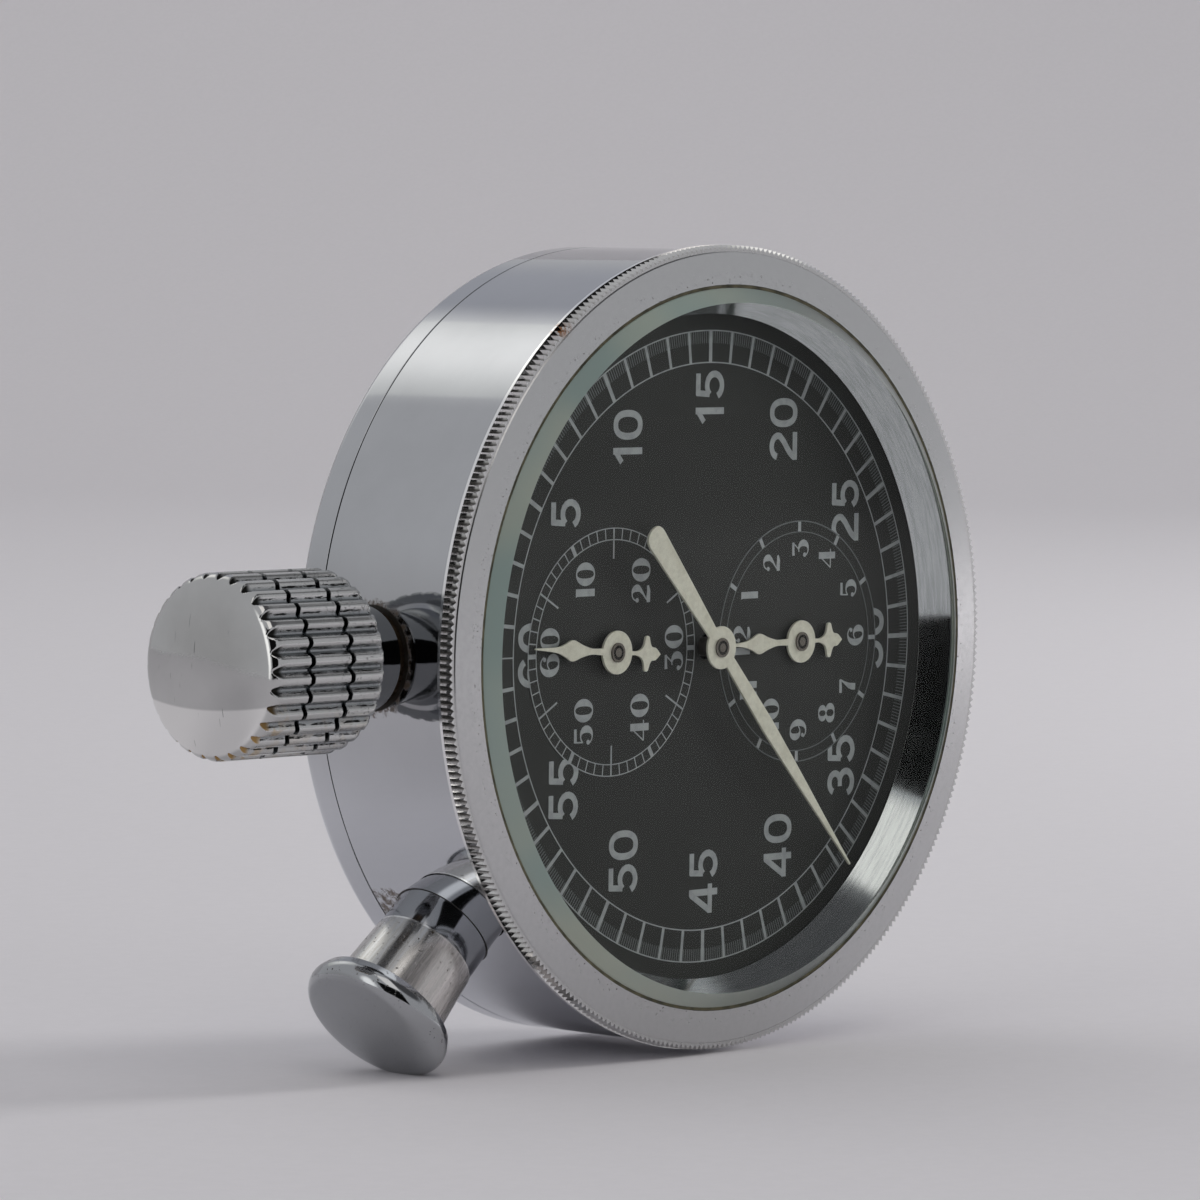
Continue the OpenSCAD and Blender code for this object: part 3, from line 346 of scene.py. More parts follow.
def metal(name, tint, roughness):
    """A metal with its coordinates, ready for its own wear and marks."""
    made, tree, shader, where = material(name)
    feed(shader, Metallic=1.0, Base_Color=tint, Roughness=roughness)
    return made, tree, shader, where


def bump(tree, shader, height, depth_mm):
    """Adds a relief of a depth in millimetres to a shader."""
    feed(shader, Normal=add(tree, "Bump", Strength=1.0, Distance=depth_mm * MM,
                            Height=height).outputs["Normal"])


def distance_to(tree, where, place):
    """Distance in metres from a place given in millimetres."""
    return add(tree, "VectorMath", {"operation": "DISTANCE"}, i0=where,
               i1=Vector(place) * MM).outputs["Value"]


def stretched(tree, where, scale, turn=(0.0, 0.0, 0.0)):
    """Coordinates scaled along each axis, then turned."""
    return add(tree, "Mapping", Vector=where, Rotation=turn, Scale=scale).outputs["Vector"]


def redress(node, finish):
    """Gives a CAD node one finish."""
    slots = frame["nodes"][node].data.materials
    slots.clear()
    slots.append(finish)


def chrome_finish(name, roughness, feet=(), tint=(0.565, 0.575, 0.595, 1), painted_low_reflection_tint=None):
    """Polished chromium with a thin film of handling, faint scratches and
    brown tarnish round the feet of the tubes; a low tint, if given, is
    painted over the lower part as a painted reflection."""
    made, tree, shader, where = metal(name, tint, roughness)
    film = grain(tree, where, 90.0, 5.0, 0.6)
    scratches = grain(tree, stretched(tree, where, (300.0, 4000.0, 300.0)), 1.0, 2.0)
    colour = blend(tree, between(tree, film, 0.35, 0.75), tint,
                   tuple(c * 0.93 for c in tint[:3]) + (1,))
    # The lower part is painted lighter: a painted reflection of the pale floor below.
    if painted_low_reflection_tint:
        height = add(tree, "SeparateXYZ", Vector=where).outputs["Z"]
        colour = blend(tree, between(tree, height, -13.0 * MM, -4.0 * MM, 1.0, 0.0), colour,
                       painted_low_reflection_tint)
    rough = maths(tree, "ADD", between(tree, film, 0.4, 0.8, roughness, roughness + 0.05),
                  between(tree, scratches, 0.62, 0.72, 0.0, 0.04))
    stain = ring = 0.0
    for foot, foot_reach, foot_edge, blotch, reach in feet:
        near = between(tree, distance_to(tree, where, blotch), reach * 0.6 * MM, reach * MM,
                       1.0, 0.0)
        spots = between(tree, times(tree, near, grain(tree, where, 1500.0, 4.0, 0.6)),
                        0.36, 0.58, 0.0, 0.85)
        dark = between(tree, distance_to(tree, where, foot), foot_reach * MM,
                       (foot_reach + foot_edge) * MM, 0.97, 0.0)
        stain = maths(tree, "MAXIMUM", stain, spots)
        ring = maths(tree, "MAXIMUM", ring, dark)
    if feet:
        colour = blend(tree, stain, colour, tarnish)
        colour = blend(tree, ring, colour, foot_dirt)
        stain = maths(tree, "MAXIMUM", stain, ring)
        rough = maths(tree, "ADD", rough, times(tree, stain, 0.4))
        feed(shader, Metallic=between(tree, stain, 0.0, 1.0, 1.0, 0.35))
    feed(shader, Base_Color=colour, Roughness=rough)
    bump(tree, shader, scratches, 0.0006)
    return made


pusher_way = Vector((0, 0, 0))
pusher_way.x, pusher_way.z = on_circle(1, 222.5)
crown_foot = Vector((-drum_radius, -knob_depth, 0))
pusher_foot = pusher_way * drum_radius + Vector((0, -knob_depth, 0))
# A lighter chrome laid on the low parts of drum and cover: a painted reflection.
painted_reflection_chrome = (0.72, 0.735, 0.77, 1)
drum_finish = chrome_finish("drum_chrome", 0.045, (
    (crown_foot, 3.68, 0.10, crown_foot, 5.8),
    (pusher_foot, 3.76, 0.06, pusher_foot + Vector((-0.3, 3.4, 0.4)), 4.1)),
    painted_low_reflection_tint=painted_reflection_chrome)
drum = turned("drum", rounded([
    (drum_inner, drum_seam + 0.04), (drum_radius, drum_seam + 0.04),
    (drum_radius, drum_shoulder), (27.6, drum_shoulder), (27.6, 14.95),
    (drum_inner, 14.95)], 0.08))
drum.data.materials.append(drum_finish)
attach(drum, "case")
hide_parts("case_band")

# Rear cover: a shallow turned cup of the same chromed brass that snaps into
# the drum, with a rounded rear edge.
cover_edge = 0.7
cover = turned("rear_cup", rounded([(0, 0.0)] + [(r, 0.0) for r in (8, 16, 22)] + [
    (drum_radius - cover_edge + out, cover_edge - up) for up, out in (
        on_circle(cover_edge, a) for a in range(0, 91, 10))] + [
    (drum_radius, drum_seam - 0.04), (27.1, drum_seam - 0.04), (27.1, 3.5),
    (26.1, 3.5), (26.1, 1.1), (0, 1.1)], 0.05))
cover.data.materials.append(chrome_finish("cover_chrome", 0.055, painted_low_reflection_tint=painted_reflection_chrome))
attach(cover, "case")
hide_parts("rear_cover")

# Bezel: a turned ring with a coin edge, chromed, its flat face left satin. It
# snaps over the drum's lip and holds the glass.
made, tree, shader, where = metal("bezel_satin", (0.60, 0.605, 0.615, 1), 0.25)
place = add(tree, "SeparateXYZ", Vector=where)
radius = span(tree, place.outputs["X"], place.outputs["Z"])
satin = grain(tree, where, 2600.0, 4.0, 0.6)
lathe = grain(tree, add(tree, "CombineXYZ", X=radius).outputs[0], 9000.0, 2.0)
on_face = between(tree, place.outputs["Y"], -15.26 * MM, -15.20 * MM, 1.0, 0.0)
on_ribs = maths(tree, "SUBTRACT", 1.0, on_face)
groove = times(tree, between(tree, radius, 28.62 * MM, 28.84 * MM, 1.0, 0.0), on_ribs)
near_seal = between(tree, radius, 26.2 * MM, 27.3 * MM, 1.0, 0.0)
pits = times(tree, between(tree, grain(tree, where, 5200.0, 2.0), 0.66, 0.70), near_seal,
             on_face)
dirt = maths(tree, "MAXIMUM", times(tree, groove, 0.62), pits)
rust_place = (-17.6, -14.8, 23.0)
rust = times(tree, between(tree, distance_to(tree, where, rust_place), 0.3 * MM, 1.0 * MM,
                           1.0, 0.0), between(tree, grain(tree, where, 2500.0), 0.4, 0.55))
# The rear rim is polished; its near-white colour is a painted highlight.
rear_rim_highlight = between(tree, place.outputs["Y"], -14.44 * MM, -14.40 * MM)
colour = layered(
    tree, (0.56, 0.562, 0.565, 1), (between(tree, satin, 0.3, 0.8), (0.53, 0.532, 0.535, 1)),
    (on_ribs, (0.70, 0.695, 0.685, 1)), (rear_rim_highlight, (0.97, 0.97, 0.975, 1)),
    (dirt, (0.09, 0.08, 0.065, 1)), (rust, (0.30, 0.13, 0.05, 1)))
rough = maths(tree, "SUBTRACT", between(tree, satin, 0.3, 0.8, 0.21, 0.26),
              times(tree, on_ribs, 0.12))
feed(shader, Base_Color=colour,
     Roughness=maths(tree, "ADD", rough, times(tree, dirt, 0.4)))
bump(tree, shader, maths(tree, "ADD", times(tree, lathe, 0.6), satin), 0.0003)
redress("bezel", made)

# Glass: a thick pressed crystal, polished, with a wide bevel round the front.
# Its thickness gives it a green tinge at the edge.
glass_radius = 25.89
glass_back, glass_edge, glass_front = 14.17, 15.60, 16.37
glass_bevel = 1.05
crystal = turned("crystal_glass", rounded([
    (0, glass_back), (glass_radius, glass_back), (glass_radius, glass_edge),
    (glass_radius - glass_bevel, glass_front), (0, glass_front)], 0.05))
glass_ior = 1.5
glass_gloss_lost = 0.84
made, tree, shader, where = material("crystal_clear")
smear = between(tree, grain(tree, where, 160.0, 4.0), 0.45, 0.75)
feed(shader, Transmission_Weight=1.0, IOR=glass_ior, Roughness=0.0,
     Specular_Tint=(0.22, 0.22, 0.22, 1),
     Base_Color=blend(tree, smear, (0.975, 0.985, 0.98, 1), (0.95, 0.962, 0.955, 1)))
passing = add(tree, "LightPath").outputs
shade = add(tree, "BsdfTransparent", Color=(0.96, 0.97, 0.965, 1)).outputs[0]
dull = add(tree, "BsdfRefraction", {"distribution": "GGX"}, Color=(0.96, 0.972, 0.965, 1),
           Roughness=0.0, IOR=glass_ior).outputs[0]
seen = add(tree, "MixShader", i0=glass_gloss_lost, i1=shader.outputs[0], i2=dull).outputs[0]
unseen = maths(tree, "MAXIMUM", passing["Is Shadow Ray"], passing["Is Diffuse Ray"])
feed(tree.nodes["Material Output"],
     Surface=add(tree, "MixShader", i0=unseen, i1=seen, i2=shade).outputs[0])
crystal.data.materials.append(made)

# Bevel of the glass: ground and polished. Its pale green is a painted glow
# for the light that runs across inside the glass, shown where it faces the eye.
made, tree, shader, where = material("crystal_bevel_painted_glow")
clear = add(tree, "BsdfPrincipled", Base_Color=(0.95, 0.97, 0.96, 1), IOR=glass_ior,
            Transmission_Weight=1.0, Specular_Tint=(0.5, 0.5, 0.5, 1)).outputs[0]
bands = between(tree, grain(tree, where, 60.0, 2.0), 0.38, 0.62)
feed(shader, Roughness=0.22, Specular_IOR_Level=0.4,
     Base_Color=blend(tree, bands, (0.33, 0.42, 0.39, 1), (0.46, 0.50, 0.42, 1)))
turned_away = add(tree, "LayerWeight", Blend=0.5).outputs["Facing"]
painted_glow_share = between(tree, turned_away, 0.30, 0.75, 0.92, 0.0)
seen = add(tree, "MixShader", i0=painted_glow_share, i1=clear, i2=shader.outputs[0]).outputs[0]
shade = add(tree, "BsdfTransparent", Color=(0.8, 0.85, 0.82, 1)).outputs[0]
unseen = add(tree, "LightPath").outputs["Is Shadow Ray"]
feed(tree.nodes["Material Output"],
     Surface=add(tree, "MixShader", i0=unseen, i1=seen, i2=shade).outputs[0])
crystal.data.materials.append(made)
for face in crystal.data.polygons:
    face.material_index = 0 if abs(face.normal.y) > 0.99 else 1
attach(crystal, "case")
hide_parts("crystal")

# Sealing line: an aged olive-brown ring of cement between glass and bezel.
made, tree, shader, where = material("old_cement")
age = grain(tree, where, 900.0, 4.0)
feed(shader, Roughness=between(tree, age, 0.3, 0.7, 0.5, 0.8),
     Base_Color=blend(tree, between(tree, age, 0.35, 0.7), (0.085, 0.075, 0.035, 1),
                      (0.035, 0.035, 0.022, 1)))
bump(tree, shader, grain(tree, where, 4000.0), 0.02)
redress("crystal_seal", made)

# Polished ring: a turned, chromed cone between the dial and the glass, with
# faint turning lines.
surround = turned("polished_ring", rounded([
    (24.0, 12.33), (27.1, 12.33), (27.1, 14.16), (25.69, 14.16), (24.0, 12.45)], 0.03))
made, tree, shader, where = metal("ring_polish", (0.60, 0.61, 0.62, 1), 0.08)
turn_lines = grain(tree, stretched(tree, where, (420.0, 9000.0, 420.0)), 1.0, 3.0)
film = grain(tree, where, 350.0, 4.0)
feed(shader, Roughness=between(tree, film, 0.3, 0.8, 0.05, 0.12),
     Base_Color=blend(tree, between(tree, turn_lines, 0.35, 0.7), (0.62, 0.63, 0.64, 1),
                      (0.52, 0.53, 0.54, 1)))
bump(tree, shader, turn_lines, 0.0006)
surround.data.materials.append(made)
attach(surround, "case")
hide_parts("dial_surround")

# Dial: a brass disc lacquered matt black, with a fine grain.
dial_face = 12.33
dial_lacquer, tree, shader, where = material("dial_lacquer")
speck = grain(tree, where, 700.0, 3.0)
feed(shader, Roughness=between(tree, speck, 0.3, 0.8, 0.55, 0.65), Specular_IOR_Level=0.1,
     Base_Color=blend(tree, between(tree, speck, 0.3, 0.8), (0.0400, 0.0400, 0.0385, 1),
                      (0.0430, 0.0430, 0.0415, 1)))
bump(tree, shader, speck, 0.00002)
redress("dial", dial_lacquer)

# Printing on the dial: pad-printed grey-white ink in thin raised films. The
# 60 stands at the crown, so a figure's top points to -X and its right to +Z.
ink_height = 0.012
ink_root = 0.02


def printing_ink(name, scale, fresh, worn):
    """A thin matt ink, worn in spots of a scale."""
    made, tree, shader, where = material(name)
    wear = grain(tree, where, scale, 4.0)
    feed(shader, Base_Color=blend(tree, between(tree, wear, 0.35, 0.75), fresh, worn),
         Roughness=0.55)
    bump(tree, shader, wear, 0.003)
    return made


ink = printing_ink("grey_white_ink", 1600.0, (0.36, 0.372, 0.376, 1), (0.28, 0.29, 0.296, 1))
faint_ink = printing_ink("faint_ink", 2200.0, (0.13, 0.137, 0.14, 1), (0.095, 0.10, 0.102, 1))


class Film:
    """Collects flat strokes of ink, then makes them one thin raised piece."""

    def __init__(self, level=ink_height):
        self.points, self.faces, self.level = [], [], level

    def ribbon(self, path, closed=False, lift=0.0):
        """A stroke through (right, up, width) points on the dial, in mm; a
        lift keeps crossing strokes from lying in one plane."""
        count, sides = len(path), []
        for i, (right, up, width) in enumerate(path):
            after = path[(i + 1) % count] if closed or i < count - 1 else path[i]
            before = path[i - 1] if closed or i > 0 else path[i]
            way = Vector((after[0] - before[0], after[1] - before[1]))
            way = way.normalized() if way.length > 1e-9 else Vector((1, 0))
            across = Vector((-way.y, way.x)) * width / 2
            sides.append(((right + across.x, up + across.y),
                          (right - across.x, up - across.y)))
        base = len(self.points)
        for pair in sides:
            for right, up in pair:
                for depth in (dial_face + self.level + lift, dial_face - ink_root):
                    self.points.append((-up, -depth, right))
        for i in range(count if closed else count - 1):
            a, b = base + 4 * i, base + 4 * ((i + 1) % count)
            self.faces += [(a, a + 2, b + 2, b), (a + 1, b + 1, b + 3, a + 3),
                           (a, b, b + 1, a + 1), (a + 2, a + 3, b + 3, b + 2)]
        if not closed:
            last = base + 4 * (count - 1)
            self.faces += [(base, base + 1, base + 3, base + 2),
                           (last, last + 2, last + 3, last + 1)]

    def ring(self, centre, radius, width, steps=240):
        """A full circle round a place given as (right, up)."""
        self.ribbon([(centre[0] + right, centre[1] + up, width) for up, right in (
            on_circle(radius, 360 * k / steps) for k in range(steps))], True, 0.004)

    def tick(self, centre, parts, of, inner, outer, width):
        """A radial mark at parts out of a full turn, clockwise from the top."""
        self.ribbon([(centre[0] + right, centre[1] + up, width) for up, right in (
            on_circle(r, 360 * parts / of) for r in (inner, outer))])

    def piece(self, name, finish):
        """Makes the object and lets it ride on the case."""
        made = mesh_piece(name, self.points, self.faces)
        bm = bmesh.new()
        bm.from_mesh(made.data)
        bmesh.ops.recalc_face_normals(bm, faces=bm.faces)
        bm.to_mesh(made.data)
        bm.free()
        made.data.materials.append(finish)
        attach(made, "case")


middle = (0.0, 0.0)
minutes_centre = (0.0, 10.16)
hours_centre = (0.0, -10.16)

track = Film()
track.ring(middle, 22.80, 0.09, 360)
track.ring(middle, 20.50, 0.09, 360)
for second in range(60):
    mark = 0.10 if second == 0 else 0.34 if second % 5 == 0 else 0.27
    track.tick(middle, second, 60, 20.5, 22.8, mark)
track.piece("second_track", ink)
fine = Film(ink_height * 0.8)
for part in range(600):
    if part % 10:
        fine.tick(middle, part, 600, 21.88, 22.8, 0.075)
fine.piece("tenth_marks", faint_ink)


def arc(right, up, radius_x, radius_y, start, end, width, steps=14):
    """Points of an elliptical arc; angles run clockwise from the top."""
    out = []
    for k in range(steps + 1):
        a = math.radians(start + (end - start) * k / steps)
        w = width(a) if callable(width) else width
        out.append((right + radius_x * math.sin(a), up + radius_y * math.cos(a), w))
    return out


def oval(half_width, half_height, power, width, raised=0.0):
    """Points of a closed rounded oval for a nought, or a raised one."""
    out = []
    for k in range(40):
        a = 2 * math.pi * k / 40
        s, c = math.sin(a), math.cos(a)
        x = math.copysign(abs(s) ** (2 / power), s) * half_width
        y = math.copysign(abs(c) ** (2 / power), c) * half_height
        out.append((x, y + raised, width(a) if callable(width) else width))
    return out


# The large figures are a wide sans serif of even strokes, in cap heights.
bold = 0.158
top = 0.5 - bold / 2
sans = {
    "0": [("loop", oval(0.265, top, 2.35, bold))],
    "1": [("line", [(0.09, -0.5, bold), (0.09, 0.5, bold)]),
          ("line", [(0.06, 0.40, bold * 0.9), (-0.17, 0.20, bold * 0.9)])],
    "2": [("line", arc(0.0, 0.19, 0.25, top - 0.19, -80, 105, bold)
           + [(0.13, 0.0, bold), (-0.14, -0.22, bold), (-0.245, -0.36, bold),
              (-0.26, -top, bold)]),
          ("line", [(-0.33, -top, bold), (0.33, -top, bold)])],
    "3": [("line", arc(-0.01, 0.22, 0.225, top - 0.22, -72, 165, bold)),
          ("line", arc(-0.01, -0.185, 0.265, top - 0.185, 10, 255, bold)),
          ("line", [(-0.10, 0.035, bold * 0.9), (0.06, 0.035, bold * 0.9)])],
    "4": [("line", [(0.155, -0.5, bold), (0.155, 0.5, bold)]),
          ("line", [(0.12, 0.45, bold * 0.95), (-0.27, -0.20, bold * 0.95)]),
          ("line", [(-0.345, -0.235, bold * 0.95), (0.345, -0.235, bold * 0.95)])],
    "5": [("line", [(-0.235, top, bold), (0.27, top, bold)]),
          ("line", [(-0.185, 0.48, bold * 0.9), (-0.215, 0.02, bold * 0.9)]),
          ("line", arc(-0.01, -0.155, 0.27, top - 0.155, -50, 245, bold))],
    "6": [("line", arc(0.02, 0.10, 0.28, top - 0.10, 55, -90, bold)
           + [(-0.26, -0.05, bold), (-0.262, -0.16, bold)]),
          ("loop", oval(0.262, top - 0.155, 2.1, bold, -0.155))],
}
sans_width = {"0": 0.69, "1": 0.50, "2": 0.70, "3": 0.68, "4": 0.74, "5": 0.69, "6": 0.69}


def figures(film, text, letters, widths, right, up, height, gap):
    """Sets a number, centred on a place given as right and up in mm."""
    total = sum(widths[c] for c in text) + gap * (len(text) - 1)
    pen = -total / 2
    for c in text:
        middle_of = pen + widths[c] / 2
        for layer, (kind, path) in enumerate(letters[c]):
            film.ribbon([(right + (x + middle_of) * height, up + y * height,
                          w * height) for x, y, w in path], kind == "loop", layer * 0.002)
        pen += widths[c] + gap


large_height = 3.08
large = Film()
for number, right, up in (
        ("5", 9.95, 15.22), ("10", 15.20, 8.80), ("15", 17.95, 0.0), ("20", 15.55, -8.20),
        ("25", 9.45, -15.35), ("35", -9.40, -15.30), ("40", -14.95, -8.20),
        ("45", -17.05, 0.0), ("50", -15.05, 8.70), ("55", -9.50, 15.12),
        ("60", 0.10, 18.46), ("30", -0.10, -18.46)):
    figures(large, number, sans, sans_width, right, up, large_height, 0.10)
large.piece("large_figures", ink)

# The two registers are printed over the track: a matt black field, their own
# circles, marks and fat-faced figures.
pad_level = ink_height + 0.006
register_radius = 8.82
field_radius = register_radius + 0.03
field_top, field_root = dial_face + pad_level, dial_face - ink_root
for name, centre in (("minute_field", minutes_centre), ("hour_field", hours_centre)):
    field = turned(name, [(0, field_top), (field_radius, field_top), (field_radius, field_root),
                          (0, field_root)], start=(-centre[1], 0, centre[0]), steps=180)
    field.data.materials.append(dial_lacquer)
    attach(field, "case")

over = pad_level + 0.010
minute_marks = Film(over)
minute_marks.ring(minutes_centre, register_radius, 0.07)
minute_marks.ring(minutes_centre, 8.0, 0.07)
for minute in range(60):
    inner, width = ((8.0, 0.34) if minute % 10 == 0 else (6.65, 0.14) if minute % 5 == 0
                    else (8.0, 0.085))
    minute_marks.tick(minutes_centre, minute, 60, inner, register_radius, width)
minute_marks.piece("minute_marks", ink)
hour_rings = Film(over * 0.9)
hour_rings.ring(hours_centre, register_radius, 0.09)
hour_rings.ring(hours_centre, 8.03, 0.07)
hour_rings.piece("hour_rings", faint_ink)
hour_marks = Film(over)
for hour in range(12):
    hour_marks.tick(hours_centre, hour, 12, 8.03, register_radius, 0.32)
hour_marks.piece("hour_marks", ink)

hair = 0.052
fat = 0.27


def swell(a):
    """Stroke width of a fat face: thick at the sides, a hair at the top."""
    return hair + (fat - hair) * abs(math.sin(a)) ** 1.6


def swell_right(a):
    """A bowl that is thick on its right side only."""
    return hair + (fat - hair) * max(0.0, math.sin(a)) ** 1.3


def ball(right, up, size):
    """A round terminal."""
    return ("loop", [(right + out, up + rise, size / 2) for rise, out in (
        on_circle(size / 4, 360 * k / 14) for k in range(14))])


serif = {
    "0": [("loop", oval(0.29, 0.474, 2.0, swell))],
    "1": [("line", [(0.0, -0.5, fat), (0.0, 0.5, fat)]),
          ("line", [(-0.16, 0.475, hair), (0.0, 0.475, hair)])],
    "2": [("line", arc(0.0, 0.20, 0.23, 0.275, -95, 100, swell_right)
           + [(0.16, 0.03, 0.17), (0.02, -0.12, 0.09), (-0.16, -0.27, hair),
              (-0.27, -0.40, hair)]),
          ball(-0.21, 0.20, 0.17),
          ("line", [(-0.30, -0.41, 0.17), (-0.1, -0.40, 0.2), (0.12, -0.42, 0.17),
                    (0.31, -0.38, 0.10)])],
    "3": [("line", [(-0.27, 0.42, 0.15), (-0.05, 0.43, 0.13), (0.25, 0.44, 0.12)]),
          ("line", [(0.23, 0.44, hair), (-0.02, 0.10, hair)]),
          ("line", arc(-0.04, -0.185, 0.265, 0.29, -20, 250, swell_right)),
          ball(-0.25, -0.26, 0.18)],
    "4": [("line", [(0.12, -0.5, fat), (0.12, 0.5, fat)]),
          ("line", [(0.10, 0.46, hair), (-0.36, -0.20, hair)]),
          ("line", [(-0.38, -0.215, hair), (0.37, -0.215, hair)])],
    "5": [("line", [(-0.26, 0.42, 0.15), (-0.05, 0.42, 0.14), (0.24, 0.43, 0.13)]),
          ("line", [(-0.24, 0.42, hair), (-0.25, 0.02, hair)]),
          ("line", arc(-0.04, -0.165, 0.27, 0.31, -48, 250, swell_right)),
          ball(-0.25, -0.26, 0.18)],
    "6": [("line", arc(0.05, 0.0, 0.33, 0.474, 50, -180, lambda a: hair + (fat - hair)
                       * max(0.0, -math.sin(a)) ** 1.3, 24)),
          ("line", arc(0.05, -0.18, 0.235, 0.295, -50, 180, swell_right, 24)),
          ball(0.22, 0.27, 0.16)],
    "7": [("line", [(-0.28, 0.42, 0.15), (-0.05, 0.41, 0.16), (0.26, 0.44, 0.12)]),
          ("line", [(0.26, 0.44, hair), (0.13, 0.18, 0.10), (0.0, -0.10, 0.22),
                    (-0.04, -0.30, fat), (-0.05, -0.5, fat)])],
    "8": [("loop", oval(0.22, 0.225, 2.0, lambda a: 0.8 * swell(a), 0.25)),
          ("loop", oval(0.265, 0.25, 2.0, lambda a: 0.95 * swell(a), -0.225))],
}
serif["9"] = [(kind, [(-x, -y, w) for x, y, w in path]) for kind, path in serif["6"]]
serif_width = {"0": 0.85, "1": 0.34, "2": 0.78, "3": 0.80, "4": 0.82, "5": 0.80, "6": 0.84,
               "7": 0.72, "8": 0.80, "9": 0.84}
small_height = 1.97
minute_figures = Film(over)
for number, right, up in (("60", 0.22, 6.58), ("10", 5.23, 2.95), ("20", 4.93, -2.95),
                          ("30", 0.0, -6.58), ("40", -4.80, -2.98), ("50", -4.88, 2.97)):
    figures(minute_figures, number, serif, serif_width, right, up + minutes_centre[1],
            small_height, 0.07)
minute_figures.piece("minute_figures", ink)
hour_figures = Film(over)
for number, right, up in (
        ("12", 0.30, 6.30), ("1", 3.57, 5.50), ("2", 5.80, 3.10), ("3", 6.80, -0.12),
        ("4", 6.00, -3.15), ("5", 3.70, -5.65), ("6", 0.20, -6.55), ("7", -3.50, -5.70),
        ("8", -5.42, -3.35), ("9", -6.50, -0.15), ("10", -5.25, 2.95), ("11", -3.35, 5.50)):
    figures(hour_figures, number, serif, serif_width, right, up + hours_centre[1], 1.84, 0.08)
hour_figures.piece("hour_figures", ink)

# Hands: stamped from thin brass sheet, their edges broken, painted cream and
# pressed on the arbors' posts.
cream, tree, shader, where = material("cream_paint")
paint = grain(tree, where, 2800.0, 5.0, 0.6)
old = between(tree, grain(tree, where, 700.0, 3.0), 0.35, 0.75)
colour = blend(tree, between(tree, paint, 0.3, 0.75), (0.74, 0.71, 0.60, 1),
               (0.65, 0.62, 0.52, 1))
feed(shader, Base_Color=blend(tree, times(tree, old, 0.35), colour, (0.45, 0.42, 0.33, 1)),
     Roughness=0.6)
bump(tree, shader, paint, 0.006)
hand_thickness = 0.18
hub_radius = 1.55
hub_steps = 30


def curve_through(points, steps=6):
    """A smooth line through points; one marked "corner" stays sharp."""
    out = []
    for i in range(len(points) - 1):
        p0 = Vector(points[max(i - 1, 0)][:2])
        p1, p2 = Vector(points[i][:2]), Vector(points[i + 1][:2])
        p3 = Vector(points[min(i + 2, len(points) - 1)][:2])
        if len(points[i]) > 2:
            p0 = p1
        if len(points[i + 1]) > 2:
            p3 = p2
        for k in range(steps):
            t = k / steps
            out.append(tuple(0.5 * ((2 * p1) + (p2 - p0) * t
                       + (2 * p0 - 5 * p1 + 4 * p2 - p3) * t * t
                       + (3 * p1 - p0 - 3 * p2 + p3) * t ** 3)))
    out.append(tuple(points[-1][:2]))
    return out


def hand(name, half, tail_half, back, centre, angle, body, node):
    """A flat hand from one side of its blade and tail, mirrored about its
    line, with broken edges."""
    start = math.degrees(math.asin(half[0][1] / hub_radius))
    end = 180 - math.degrees(math.asin(tail_half[0][1] / hub_radius))
    side = list(reversed(half)) + [on_circle(hub_radius, start + (end - start) * k / hub_steps)
                                   for k in range(hub_steps + 1)] + tail_half
    outline = side + [(x, -y) for x, y in reversed(side) if abs(y) > 1e-6]
    bm = bmesh.new()
    c, s = on_circle(1, angle)
    ring = [bm.verts.new(Vector((centre[0] + x * c - y * s, -back,
                                 centre[1] + x * s + y * c)) * MM) for x, y in outline]
    bmesh.ops.remove_doubles(bm, verts=bm.verts, dist=1e-6)
    face = bm.faces.new([v for v in ring if v.is_valid])
    grown = bmesh.ops.extrude_face_region(bm, geom=[face])
    for v in grown["geom"]:
        if isinstance(v, bmesh.types.BMVert):
            v.co.y -= hand_thickness * MM
    shape = bpy.data.meshes.new(name)
    bm.to_mesh(shape)
    bm.free()
    piece = in_scene(bpy.data.objects.new(name, shape))
    edge = piece.modifiers.new("broken_edge", "BEVEL")
    edge.width = 0.045 * MM
    edge.segments = 2
    edge.limit_method = "ANGLE"
    edge.angle_limit = math.radians(50)
    true_up(piece)
    piece.data.materials.append(cream)
    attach(piece, body)
    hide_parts(node)


seconds_half = [(1.48, 0.51), (7.8, 0.62), (12.0, 0.49), (17.0, 0.27), (22.2, 0.07)]
seconds_tail = [(-1.47, 0.49), (-4.5, 0.66), (-8.0, 0.83), (-10.2, 0.94), (-10.75, 0.95),
                (-11.2, 0.82), (-11.48, 0.52), (-11.6, 0.0)]
hand("seconds_blade", seconds_half, curve_through(seconds_tail, 4), 13.63, (0, 0),
     180 - 6 * 38.05, "seconds", "seconds_hand")
small_half = curve_through([(1.53, 0.24), (2.7, 0.22), (3.7, 0.44), (4.7, 0.75), (5.5, 0.44),
                            (6.4, 0.19), (8.55, 0.05)])
small_tail = curve_through([(-1.54, 0.15), (-2.2, 0.17), (-2.75, 0.5), (-2.95, 1.2, "corner"),
                            (-3.15, 1.28), (-3.32, 1.2, "corner"), (-3.6, 0.55),
                            (-4.1, 0.42), (-4.6, 0.0)])
hand("minute_blade", small_half, small_tail, 12.68, (-10.16, 0), 180 - 6 * 0.63, "minutes",
     "minute_hand")
hand("hour_blade", small_half, small_tail, 12.53, (10.16, 0), 180, "hours", "hour_hand")

